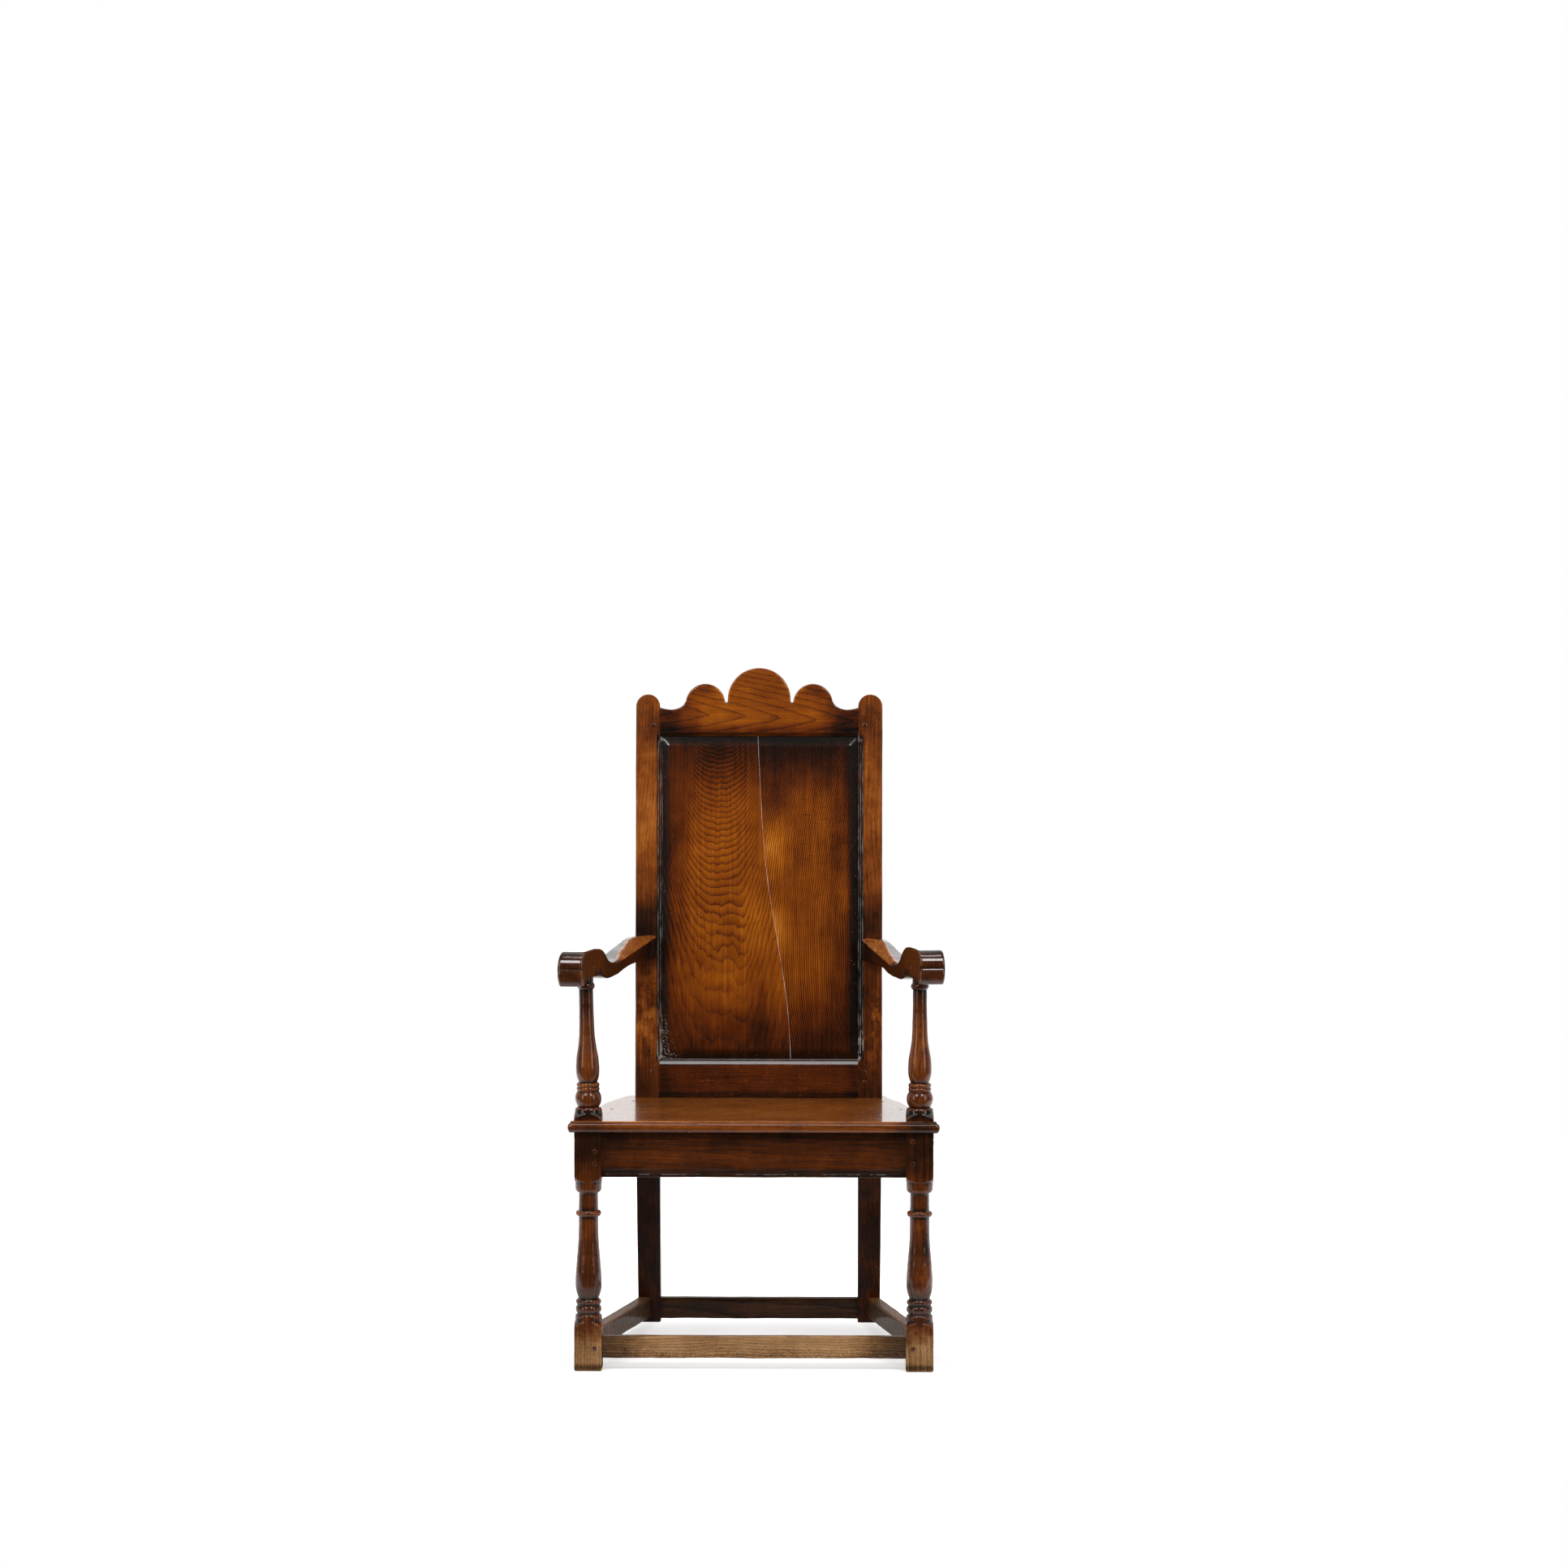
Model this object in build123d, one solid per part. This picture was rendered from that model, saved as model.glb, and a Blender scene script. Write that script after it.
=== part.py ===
"""Joined wainscot armchair: turned front posts, raked back stiles, a cut crest rail over one fielded
panel, shaped arms and a plank seat, all put together with pegged mortise and tenon joints.

Every piece is drawn in the joiner's square frame: X to the sitter's left, Y from the front faces of
the front posts towards the back, Z up. stand() then tips the chair back onto its worn back feet, and
main() moves the origin to the middle of its bounding box, on the floor. Lengths are in millimetres.
"""

import os
from math import atan, atan2, cos, degrees, hypot, radians, sin, tan

from build123d import *

os.makedirs("parts", exist_ok=True)

# ---- driving dimensions ---------------------------------------------------------------------------

LEAN = 2.1  # degrees the chair tips back because its back feet are worn short

SEAT_TOP = 437.0  # height of the seat board's top
SEAT_THICK = 20.0
SEAT_FRONT_HALF = 323.6  # half width of the board at its front edge
SEAT_OVERHANG = 16.0  # board in front of the posts

POST = 48.0  # square of the front posts
POST_X = 288.0  # post axis from the centre plane
ARM_SEAT = 683.2  # underside of the arm where the post's round tenon enters

STILE_INNER = 180.5  # inner faces of the back stiles from the centre plane
STILE_OUTER = 225.0
STILE_FOOT_OUTER = 221.5  # the back legs narrow a little towards the floor
STILE_THICK = 44.0  # front to back, at the seat and below
STILE_TOP_THICK = 32.0
STILE_TOP = 1170.3
KNEE_Y = 416.2  # front face of the stile at seat height, where its two rakes meet
LEG_FOOT_Y = 477.0  # the same face carried down to the floor
BACK_TOP_Y = 459.7  # and up to the stile's top

RAIL_BOTTOM = 338.0  # seat rails
RAIL_TOP = SEAT_TOP - SEAT_THICK
RAIL_THICK = 24.0
RAIL_SETBACK = 4.0

STRETCHER_THICK = 22.0
FRONT_STRETCHER_Z = (22.5, 60.5)
SIDE_STRETCHER_Z = (28.0, 65.0)
BACK_STRETCHER_Z = (24.0, 62.0)

TENON = 9.0  # thickness of every flat tenon
TENON_SHOULDER = 7.0  # top and bottom shoulders
CHEEK_GAP = 0.15  # clearance beside a tenon, a board in its groove or a peg
END_GAP = 2.0  # clearance past the end of a tenon

PEG_RADIUS = 4.2
PEG_PROUD = 0.8
SEAT_PEG_RADIUS = 3.2

BACK_RAKE = atan((BACK_TOP_Y - KNEE_Y) / (STILE_TOP - SEAT_TOP))  # radians, as is the legs' rake
LEG_RAKE = atan((LEG_FOOT_Y - KNEE_Y) / SEAT_TOP)

# The back's own plane: x across, y up the slope from the seat, z out of the front faces.
BACK = Plane(
    origin=(0, KNEE_Y, SEAT_TOP),
    x_dir=(1, 0, 0),
    z_dir=(0, -cos(BACK_RAKE), sin(BACK_RAKE)),
)

# heights up the back's slope from the seat
LOWER_RAIL_TOP = 70.1
CREST_BOTTOM = 658.3
BACK_RAIL_THICK = 26.0
RAIL_BEVEL = 9.7  # bevel that runs down to the panel
RAIL_BEVEL_DEPTH = 7.5

PANEL_SETBACK = 9.15  # from the stiles' faces to the front of the panel's edge
PANEL_EDGE = 7.0  # thickness of the panel in its groove
PANEL_FIELD = 4.2  # how far the field stands in front of that edge
PANEL_BEVEL = 17.0
GROOVE_DEPTH = 9.5

ARM_FRONT_Y = -46.0
ARM_BACK_Y = KNEE_Y + tan(BACK_RAKE) * (712.0 - SEAT_TOP)
ARM_BACK_X = (188.0, 223.5)  # inner and outer side where the arm meets the stile

# The chair was made by hand and has moved with age: the upper post and the arm differ a little from
# side to side. Left and right are the sitter's, and left is +X.
SIDES = {"left": 1, "right": -1}
POST_SPLAY = {"left": 0.0, "right": 1.15}  # degrees the turning above the seat leans outwards
ARM_FRONT_X = {"left": (287.5, 330.0), "right": (294.5, 337.5)}  # inner and outer side at the grip

BIG = 900.0  # larger than the chair's half width or depth


# ---- building blocks ------------------------------------------------------------------------------


def block(x, y, z):
    """A box from pairs of low and high X, Y and Z."""
    size = (x[1] - x[0], y[1] - y[0], z[1] - z[0])
    return Pos(x[0], y[0], z[0]) * Box(*size, align=(Align.MIN, Align.MIN, Align.MIN))


def outline(plane, lines):
    """A face on a plane from the lines and arcs drawn in its own two directions."""
    return make_face(Curve() + [plane * line for line in lines])


def side_prism(points, x):
    """A polygon of (Y, Z) points carried across from x[0] to x[1]."""
    face = make_face(Plane.YZ * Polyline(*points, close=True))
    return extrude(Pos(x[0], 0, 0) * face, amount=x[1] - x[0], dir=(1, 0, 0))


def back_block(x, up, depth):
    """A box square to the back: up is measured up the slope, depth from the front faces inwards."""
    size = (x[1] - x[0], up[1] - up[0], depth[1] - depth[0])
    corner = Pos(x[0], up[0], -depth[1])
    return BACK * corner * Box(*size, align=(Align.MIN, Align.MIN, Align.MIN))


def mirrored(part):
    """The same piece on the other side of the chair."""
    return mirror(part, about=Plane.YZ)


def leg_front_y(z):
    """Front face of a back leg, which rakes back from the seat down to the foot."""
    return KNEE_Y + (SEAT_TOP - z) / SEAT_TOP * (LEG_FOOT_Y - KNEE_Y)


def stopped_chamfer(start, end, inwards, outwards, width, stop):
    """Cutter for a chamfer on the arris from start to end that dies out along an arc at each end.

    inwards and outwards are the unit normals of the two faces that meet at the arris.
    """
    start, end = Vector(*start), Vector(*end)
    along = (end - start).normalized()
    out = (Vector(*inwards) + Vector(*outwards)).normalized()
    depth = width / 2**0.5
    length = (end - start).length
    run = Plane(origin=start, x_dir=along, z_dir=along.cross(out))
    line = [
        ThreePointArc((0, 0), (stop * 0.45, -depth * 0.62), (stop, -depth)),
        Line((stop, -depth), (length - stop, -depth)),
        ThreePointArc((length - stop, -depth), (length - stop * 0.45, -depth * 0.62), (length, 0)),
        Polyline((length, 0), (length, width), (0, width), (0, 0)),
    ]
    face = outline(run, line)
    return extrude(face, amount=width * 1.5, both=True)


def peg(at, into, length, radius=PEG_RADIUS):
    """A riven, eight-sided peg driven into the face point at, and the round hole it fills."""
    line = Plane(origin=at, z_dir=into)
    bottom = (Align.CENTER, Align.CENTER, Align.MIN)
    shank = extrude(RegularPolygon(radius, 8), amount=length + PEG_PROUD)
    hole = Cylinder(radius + CHEEK_GAP, length + 8 + END_GAP / 2, align=bottom)
    return line * Pos(0, 0, -PEG_PROUD) * shank, line * Pos(0, 0, -8) * hole


# ---- tenoned members of the base ------------------------------------------------------------------


def side_span(into_post, into_leg):
    """The space between front post and back leg, run on by a length into each."""
    front = POST - into_post
    return side_prism(
        [
            (front, -20),
            (front, SEAT_TOP),
            (leg_front_y(SEAT_TOP) + into_leg, SEAT_TOP),
            (leg_front_y(-20) + into_leg, -20),
        ],
        (-BIG, BIG),
    )


def plan_bar(front_x, back_x, thick, z):
    """A bar with upright sides, centred on the plan line from the post's back to the leg's front."""
    run_y = KNEE_Y - POST
    turn = degrees(atan2(run_y, back_x - front_x))
    length = hypot(run_y, back_x - front_x) + BIG / 2
    middle = Pos((front_x + back_x) / 2, POST + run_y / 2, z[0])
    bottom = (Align.CENTER, Align.CENTER, Align.MIN)
    return middle * Rot(0, 0, turn) * Box(length, thick, z[1] - z[0], align=bottom)


def side_member(front_x, back_x, thick, z, into_post=24.0, into_leg=16.0):
    """A side rail or stretcher with its two tenons, and the cutter for their mortises."""
    low, high = z[0] + TENON_SHOULDER, z[1] - TENON_SHOULDER
    body = plan_bar(front_x, back_x, thick, z) & side_span(0, 0)
    body = fillet(long_edges(body), 1.5)
    tenons = plan_bar(front_x, back_x, TENON, (low, high)) & side_span(into_post, into_leg)
    room = plan_bar(front_x, back_x, TENON + 2 * CHEEK_GAP, (low - CHEEK_GAP, high + CHEEK_GAP))
    cutter = room & side_span(into_post + END_GAP, into_leg + END_GAP)
    return body + tenons, cutter


def long_edges(part, shortest=200.0):
    """Edges that run the length of a member."""
    return [edge for edge in part.edges() if edge.length > shortest]


def cross_member(half, y, z, tenon_y, tenon_long):
    """A rail or stretcher across the chair with its two tenons, and their mortise cutter."""
    low, high = z[0] + TENON_SHOULDER, z[1] - TENON_SHOULDER
    body = fillet(long_edges(block((-half, half), y, z)), 1.5)
    reach = half + tenon_long
    tenons = block((-reach, reach), (tenon_y, tenon_y + TENON), (low, high))
    room = reach + END_GAP
    cutter = block(
        (-room, room),
        (tenon_y - CHEEK_GAP, tenon_y + TENON + CHEEK_GAP),
        (low - CHEEK_GAP, high + CHEEK_GAP),
    )
    return body + tenons, cutter


# ---- front posts ----------------------------------------------------------------------------------

# (height, radius) down the axis of the turning; the square blocks are left where it is wide
BLOCK_R = POST * 0.76  # clears the corners of the square
TENON_R = 9.5
TENON_TOP = ARM_SEAT + 29.0
SPLAY_FROM = 459.0  # the neck between the collar on the seat and the ball above it
TOOL_CUTS = 3


def gouged(start, middle, end):
    """A bead or hollow of the turning, as a few straight cuts along its arc."""
    arc = ThreePointArc(start, middle, end)
    return Polyline(*[arc @ (cut / TOOL_CUTS) for cut in range(TOOL_CUTS + 1)])


def turned_outline():
    """The half outline of the turning, from below the foot to the top of its round tenon."""
    half = POST / 2
    cut = [
        Polyline((0, -20), (BLOCK_R, -20), (BLOCK_R, 69)),
        gouged((BLOCK_R, 69), (30.2, 79.5), (half, 85.5)),
        Line((half, 85.5), (23.4, 92.5)),
        gouged((23.4, 92.5), (22.6, 96.6), (20.0, 98.6)),
        Line((20.0, 98.6), (20.3, 100.2)),
        gouged((20.3, 100.2), (22.9, 106.4), (20.3, 113.2)),
        Line((20.3, 113.2), (20.4, 115.0)),
        gouged((20.4, 115.0), (22.5, 119.4), (20.0, 124.0)),
        Line((20.0, 124.0), (17.9, 125.7)),
        Polyline(
            (17.9, 125.7), (21.6, 137), (23.2, 152.7), (22.4, 174), (20.6, 195), (18.4, 223),
            (17.5, 246), (17.4, 268),
        ),
        gouged((17.4, 268), (22.5, 273.6), (17.2, 279.2)),
        Line((17.2, 279.2), (16.9, 310)),
        Line((16.9, 310), (19.4, 310.4)),
        gouged((19.4, 310.4), (22.2, 313.4), (23.3, 318.5)),
        Line((23.3, 318.5), (half, 328.5)),
        gouged((half, 328.5), (30.0, 333.8), (BLOCK_R, 344)),
        Line((BLOCK_R, 344), (BLOCK_R, 437)),
        gouged((BLOCK_R, 437), (30.2, 443.4), (half, 448.5)),
        Line((half, 448.5), (23.2, 453.5)),
        gouged((23.2, 453.5), (21.6, 457.4), (18.0, 459.0)),
        gouged((18.0, 459.0), (22.8, 472.6), (18.4, 486.6)),
        gouged((18.4, 486.6), (19.9, 490.0), (18.4, 493.6)),
        gouged((18.4, 493.6), (19.9, 497.2), (18.0, 500.8)),
        Line((18.0, 500.8), (15.9, 502.0)),
        Polyline(
            (15.9, 502.0), (18.9, 510), (20.2, 522.6), (18.5, 548), (16.0, 562), (14.2, 576),
            (12.8, 605), (12.2, 633), (12.2, 663.5),
        ),
        gouged((12.2, 663.5), (15.5, 669.2), (12.8, 675.0)),
        Line((12.8, 675.0), (12.9, ARM_SEAT)),
        Polyline((12.9, ARM_SEAT), (TENON_R, ARM_SEAT), (TENON_R, TENON_TOP), (0, TENON_TOP), (0, -20)),
    ]
    return outline(Plane.XZ, cut)


def splayed(part, side):
    """Lean something on the +X side outwards with the upper part of its post."""
    middle = Vector(POST_X, POST / 2, SPLAY_FROM)
    return Pos(*middle) * Rot(0, POST_SPLAY[side], 0) * Pos(*-middle) * part


def front_post(side):
    """Post built on the +X side: the square billet where it meets the turning."""
    half = POST / 2
    turning = Pos(POST_X, half, 0) * revolve(turned_outline(), Axis.Z)
    billet = block((POST_X - half, POST_X + half), (0, POST), (-20, 800))
    post = fillet(long_edges(billet), 1.2) & turning
    if not POST_SPLAY[side]:
        return post
    lower = post & block((0, BIG), (-BIG, BIG), (-BIG, SPLAY_FROM))
    upper = post & block((0, BIG), (-BIG, BIG), (SPLAY_FROM - 1, BIG))
    return lower + splayed(upper, side)


# ---- back stiles ----------------------------------------------------------------------------------


def stile_side():
    """Side view of a stile as a slab: raked leg, knee at the seat, raked and thinning upper part."""
    rise = 40.0
    low = -20.0
    leg = leg_front_y(low)
    over_y = BACK_TOP_Y + rise * tan(BACK_RAKE)
    slab = side_prism(
        [
            (leg, low),
            (KNEE_Y, SEAT_TOP),
            (over_y, STILE_TOP + rise),
            (over_y + STILE_TOP_THICK, STILE_TOP + rise),
            (KNEE_Y + STILE_THICK, SEAT_TOP),
            (leg + STILE_THICK, low),
        ],
        (0, BIG),
    )
    knee = [edge for edge in slab.edges() if abs(edge.center().Z - SEAT_TOP) < 1]
    return fillet([edge for edge in knee if edge.center().Y > KNEE_Y + 1], 260)


def stile_front():
    """Front outline of the +X stile with its half-round top."""
    radius = (STILE_OUTER - STILE_INNER) / 2
    spring = STILE_TOP - radius
    line = [
        Line((STILE_INNER, -20), (STILE_INNER, spring)),
        ThreePointArc(
            (STILE_INNER, spring), (STILE_INNER + radius, STILE_TOP), (STILE_OUTER, spring)
        ),
        Polyline(
            (STILE_OUTER, spring),
            (STILE_OUTER, SEAT_TOP),
            (STILE_FOOT_OUTER, 0),
            (STILE_FOOT_OUTER, -20),
            (STILE_INNER, -20),
        ),
    ]
    face = outline(Plane.XZ, line)
    return extrude(face, amount=BIG, dir=(0, 1, 0))


def stile():
    """Stile on the +X side, with the groove for the panel and its stopped chamfers."""
    part = stile_side() & stile_front()
    part -= back_block(
        (STILE_INNER - 1, STILE_INNER + GROOVE_DEPTH),
        (LOWER_RAIL_TOP - 12, CREST_BOTTOM + 12),
        (PANEL_SETBACK - CHEEK_GAP, PANEL_SETBACK + PANEL_EDGE + CHEEK_GAP),
    )
    inner_face = (-1, 0, 0)
    low = BACK.from_local_coords((STILE_INNER, LOWER_RAIL_TOP + 4, 0))
    high = BACK.from_local_coords((STILE_INNER, CREST_BOTTOM - 1, 0))
    part -= stopped_chamfer(low, high, inner_face, BACK.z_dir, 8.0 * 2**0.5, 26)
    leg_face = (0, -cos(LEG_RAKE), -sin(LEG_RAKE))
    foot_z, under_z = BACK_STRETCHER_Z[1] + 14, RAIL_BOTTOM - 2
    part -= stopped_chamfer(
        (STILE_INNER, leg_front_y(foot_z), foot_z),
        (STILE_INNER, leg_front_y(under_z), under_z),
        inner_face,
        leg_face,
        9.0 * 2**0.5,
        22,
    )
    return part


# ---- the back: lower rail, crest rail, panel ------------------------------------------------------

BACK_TENON = (PANEL_SETBACK + 1, PANEL_SETBACK + 1 + TENON)  # depth of the tenons from the front
BACK_TENON_REACH = STILE_INNER + 34.0
LOWER_TENON = (8.0, 56.0)
CREST_TENON = (CREST_BOTTOM + 6, 702.0)


def back_tenon(up):
    """A tenon through to both stiles, and the cutter for its mortises."""
    reach, room = BACK_TENON_REACH, BACK_TENON_REACH + END_GAP
    tenon = back_block((-reach, reach), up, BACK_TENON)
    cutter = back_block(
        (-room, room),
        (up[0] - CHEEK_GAP, up[1] + CHEEK_GAP),
        (BACK_TENON[0] - CHEEK_GAP, BACK_TENON[1] + CHEEK_GAP),
    )
    return tenon, cutter


def rail_groove(up):
    """Groove for the panel in the edge of a back rail."""
    return back_block(
        (-BIG, BIG), up, (PANEL_SETBACK - CHEEK_GAP, PANEL_SETBACK + PANEL_EDGE + CHEEK_GAP)
    )


def edge_bevel(up_edge, up_arris):
    """Cutter for the bevel that falls from a rail's face arris to the panel."""
    points = [(-RAIL_BEVEL_DEPTH, up_edge), (5, up_edge), (5, up_arris), (0, up_arris)]
    profile = Plane(origin=BACK.from_local_coords((-BIG / 2, 0, 0)), x_dir=BACK.z_dir, z_dir=(-1, 0, 0))
    face = make_face(profile * Polyline(*points, close=True))
    return extrude(face, amount=BIG, dir=(1, 0, 0))


def lower_back_rail():
    """Rail between the stiles just above the seat."""
    body = back_block((-STILE_INNER, STILE_INNER), (-5, LOWER_RAIL_TOP), (0.6, BACK_RAIL_THICK))
    body -= edge_bevel(LOWER_RAIL_TOP, LOWER_RAIL_TOP - RAIL_BEVEL)
    body -= block((-BIG, BIG), (0, BIG), (SEAT_TOP - 30, SEAT_TOP))
    tenon, cutter = back_tenon(LOWER_TENON)
    return body + tenon - rail_groove((LOWER_RAIL_TOP - GROOVE_DEPTH, LOWER_RAIL_TOP + 5)), cutter


LOBE_R = 57.4
LOBE_TOP = 782.8
SMALL_LOBE_R = 36.0
SMALL_LOBE_X = 98.0
SMALL_LOBE_TOP = 753.8
NOTCH_BOTTOM = 719.5
NOTCH_TOP = 723.0
HOLLOW = (163.0, 706.9)
SHOULDER_TOP = 710.5


def crest_outline():
    """Front outline of the crest rail: one tall lobe between two small ones, falling to hollows."""
    centre_up = LOBE_TOP - LOBE_R
    small_up = SMALL_LOBE_TOP - SMALL_LOBE_R
    lobe_x = (LOBE_R**2 - (centre_up - NOTCH_TOP) ** 2) ** 0.5
    small_in = (SMALL_LOBE_R**2 - (NOTCH_TOP - small_up) ** 2) ** 0.5
    diagonal = LOBE_R / 2**0.5
    right = [
        ThreePointArc((0, LOBE_TOP), (diagonal, centre_up + diagonal), (lobe_x, NOTCH_TOP)),
        Polyline(
            (lobe_x, NOTCH_TOP),
            (lobe_x + 1.4, NOTCH_BOTTOM),
            (SMALL_LOBE_X - small_in - 1.4, NOTCH_BOTTOM),
            (SMALL_LOBE_X - small_in, NOTCH_TOP),
        ),
        ThreePointArc(
            (SMALL_LOBE_X - small_in, NOTCH_TOP),
            (SMALL_LOBE_X, SMALL_LOBE_TOP),
            (SMALL_LOBE_X + small_in, NOTCH_TOP),
        ),
        Spline(
            (SMALL_LOBE_X + small_in, NOTCH_TOP),
            (138.2, 715.6),
            (147.5, 709.4),
            HOLLOW,
            (STILE_INNER, SHOULDER_TOP),
        ),
        Polyline((STILE_INNER, SHOULDER_TOP), (STILE_INNER, CREST_BOTTOM), (0, CREST_BOTTOM)),
    ]
    left = [mirror(edge, about=Plane.YZ) for edge in right]
    return outline(BACK, right + left)


def crest_rail():
    """Crest rail, its tenons and the cutter for their mortises."""
    body = extrude(crest_outline(), amount=BACK_RAIL_THICK, dir=-BACK.z_dir)
    body -= edge_bevel(CREST_BOTTOM, CREST_BOTTOM + RAIL_BEVEL - 1.5)
    tenon, cutter = back_tenon(CREST_TENON)
    return body + tenon - rail_groove((CREST_BOTTOM - 5, CREST_BOTTOM + GROOVE_DEPTH)), cutter


CRACK = [  # (x, height up the back) of the split that runs down the panel
    (-3.0, 672), (-2.3, 655), (3.2, 546), (12.6, 419), (24.5, 338), (38.5, 257), (52.6, 159),
    (58.0, 72), (58.8, 52),
]
CRACK_WIDTH = 0.9


def back_panels():
    """The fielded panel, in the two pieces that its long split leaves."""
    half = STILE_INNER + GROOVE_DEPTH - 1.0
    up = (LOWER_RAIL_TOP - GROOVE_DEPTH + 1.0, CREST_BOTTOM + GROOVE_DEPTH - 1.0)
    depth = (PANEL_SETBACK, PANEL_SETBACK + PANEL_EDGE)
    board = back_block((-half, half), up, depth)
    middle = (up[0] + up[1]) / 2
    wide, tall = 2 * STILE_INNER - 1, CREST_BOTTOM - LOWER_RAIL_TOP - 1
    root = BACK * Pos(0, middle, -PANEL_SETBACK) * Rectangle(wide, tall)
    top = BACK * Pos(0, middle, PANEL_FIELD - PANEL_SETBACK)
    field = top * Rectangle(wide - 2 * PANEL_BEVEL, tall - 2 * PANEL_BEVEL)
    board += loft([root, field])
    line = Spline(*CRACK)
    edge = Spline(*[(x + CRACK_WIDTH, y) for x, y in CRACK])
    ends = [Line(line @ 0, edge @ 0), Line(line @ 1, edge @ 1)]
    slit = outline(BACK, [line, edge] + ends)
    board -= extrude(slit, amount=60, both=True)
    return board.solids().sort_by(Axis.X)


# ---- seat -----------------------------------------------------------------------------------------

SEAT_STEP = 2.6  # the top stands this much above the rounded nosing
NOSING = 8.0
RIM = NOSING - 1.5  # how far the step stands in from the edge
SEAT_BACK_Y = KNEE_Y + 46.0
SEAT_SIDE = {  # the board's sides run straight back and then curve in past the stiles
    "left": [(270, 300), (262, 347), (253, 376), (246, 404), (240, 430), (236.5, SEAT_BACK_Y)],
    "right": [(281, 306), (274, 343), (263, 391), (252, 433), (246, 450), (240, SEAT_BACK_Y)],
}


def seat_outline(inset=0.0):
    """Plan of the board, moved in from its front and sides by an inset."""
    front = -SEAT_OVERHANG + inset
    lines = [Line((-SEAT_FRONT_HALF + inset, front), (SEAT_FRONT_HALF - inset, front))]
    back = []
    for side, sign in SIDES.items():
        curve = [(sign * (x - inset), y) for x, y in SEAT_SIDE[side]]
        lines += [Line((sign * (SEAT_FRONT_HALF - inset), front), curve[0]), Spline(*curve)]
        back.append(curve[-1])
    return outline(Plane.XY, lines + [Line(*back)])


def front_and_side_edges(part, z):
    """Edges at a height round the board's front and sides."""
    flat = [edge for edge in part.edges() if edge.bounding_box().size.Z < 0.01]
    return [edge for edge in flat if edge.center().Y < SEAT_BACK_Y - 10 and abs(edge.center().Z - z) < 0.01]


def seat_board():
    """One plank with a rounded nosing under a small step, cut round the posts and the stiles."""
    low, high = SEAT_TOP - SEAT_THICK, SEAT_TOP - SEAT_STEP
    board = extrude(Pos(0, 0, low) * seat_outline(), amount=high - low)
    board = fillet(front_and_side_edges(board, low) + front_and_side_edges(board, high), NOSING)
    top = extrude(Pos(0, 0, high) * seat_outline(RIM), amount=SEAT_STEP)
    board += fillet(front_and_side_edges(top, SEAT_TOP), 1.6)
    slot = POST / 2 + 0.2
    for sign in SIDES.values():
        board -= Pos(sign * POST_X, POST / 2, SEAT_TOP) * Box(2 * slot, 2 * slot, 80)
        stile_x = sorted((sign * (STILE_INNER - 0.2), sign * (STILE_OUTER + 0.2)))
        board -= block(stile_x, (KNEE_Y - 0.2, BIG), (low - 5, SEAT_TOP + 5))
    return board


# ---- arms -----------------------------------------------------------------------------------------

ARM_TENON = 10.0
ARM_TENON_DEPTH = 22.0
ARM_TENON_Z = (697.0, 720.0)
ARM_TENON_X = 207.0
ARM_OVER_Y = ARM_BACK_Y + 20  # the arms are drawn past the stile and cut off square to it

# (Y, Z) of each arm's top from the stile to the grip: a level end, a sweep down, the dip, the grip
ARM_TOP = {
    "left": [
        (ARM_OVER_Y, 726.8), (392, 726.6), (372, 725.4), (335, 720), (298, 713.8), (262, 708.4),
        (228, 703.4), (196, 699.6), (165, 698.4), (138, 702), (116, 711), (101, 722), (84, 731),
        (62, 735.6), (20, 736.8), (-20, 735.6),
    ],
    "right": [
        (ARM_OVER_Y, 731.6), (392, 731.6), (364, 730.9), (330, 726.4), (298, 721), (267, 716.6),
        (236, 711), (206, 705.4), (176, 702), (150, 702), (129, 706), (113, 713), (100, 721),
        (84, 728), (62, 732), (20, 733.4), (-20, 732),
    ],
}
# and of the underside back from the post's pad
ARM_UNDER = {
    "left": [
        (74, 694.6), (81, 689.5), (90, 682), (104, 676.6), (122, 674.6), (150, 674.6), (190, 675.4),
        (228, 679.6), (268, 684.6), (320, 686.6), (ARM_OVER_Y, 686),
    ],
    "right": [
        (74, 694.6), (81, 690), (90, 682.5), (104, 677.4), (122, 675.2), (150, 675.8), (190, 679.3),
        (232, 685), (270, 689), (320, 690.6), (ARM_OVER_Y, 690),
    ],
}
GRIP_LIFT = {"left": 5.5, "right": 0.5}  # the left grip was cut higher
ARM_WEAR = {"left": 708.4, "right": 714.2}  # height of the worn inner arris WEAR_Y back
WEAR_Y = 309.0


def arm_side(side):
    """Side view of an arm: rolled grip over the post, a dip behind it, a long sweep to the stile."""
    top, under, lift = ARM_TOP[side], ARM_UNDER[side], GRIP_LIFT[side]
    brow, nose, chin = top[-1], (ARM_FRONT_Y, 703 + lift / 2), (-39, 671.5 + lift)
    line = [
        Spline(*top),
        ThreePointArc(brow, (-39, 724 + lift), nose),
        ThreePointArc(nose, (ARM_FRONT_Y - 0.5, 685 + lift / 2), chin),
        Spline(chin, (-30, 671 + lift), (-20, 675 + lift / 2), (-11, ARM_SEAT)),
        Polyline((-11, ARM_SEAT), (40, ARM_SEAT), (41, 690.5), under[0]),
        Spline(*under),
        Line(under[-1], top[0]),
    ]
    return extrude(outline(Plane.YZ, line), amount=BIG, dir=(1, 0, 0))


def arm_side_x(side, y):
    """Inner and outer X of an arm's flat sides at a distance back."""
    along = (y - ARM_FRONT_Y) / (ARM_BACK_Y - ARM_FRONT_Y)
    return [front + along * (back - front) for front, back in zip(ARM_FRONT_X[side], ARM_BACK_X)]


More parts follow.
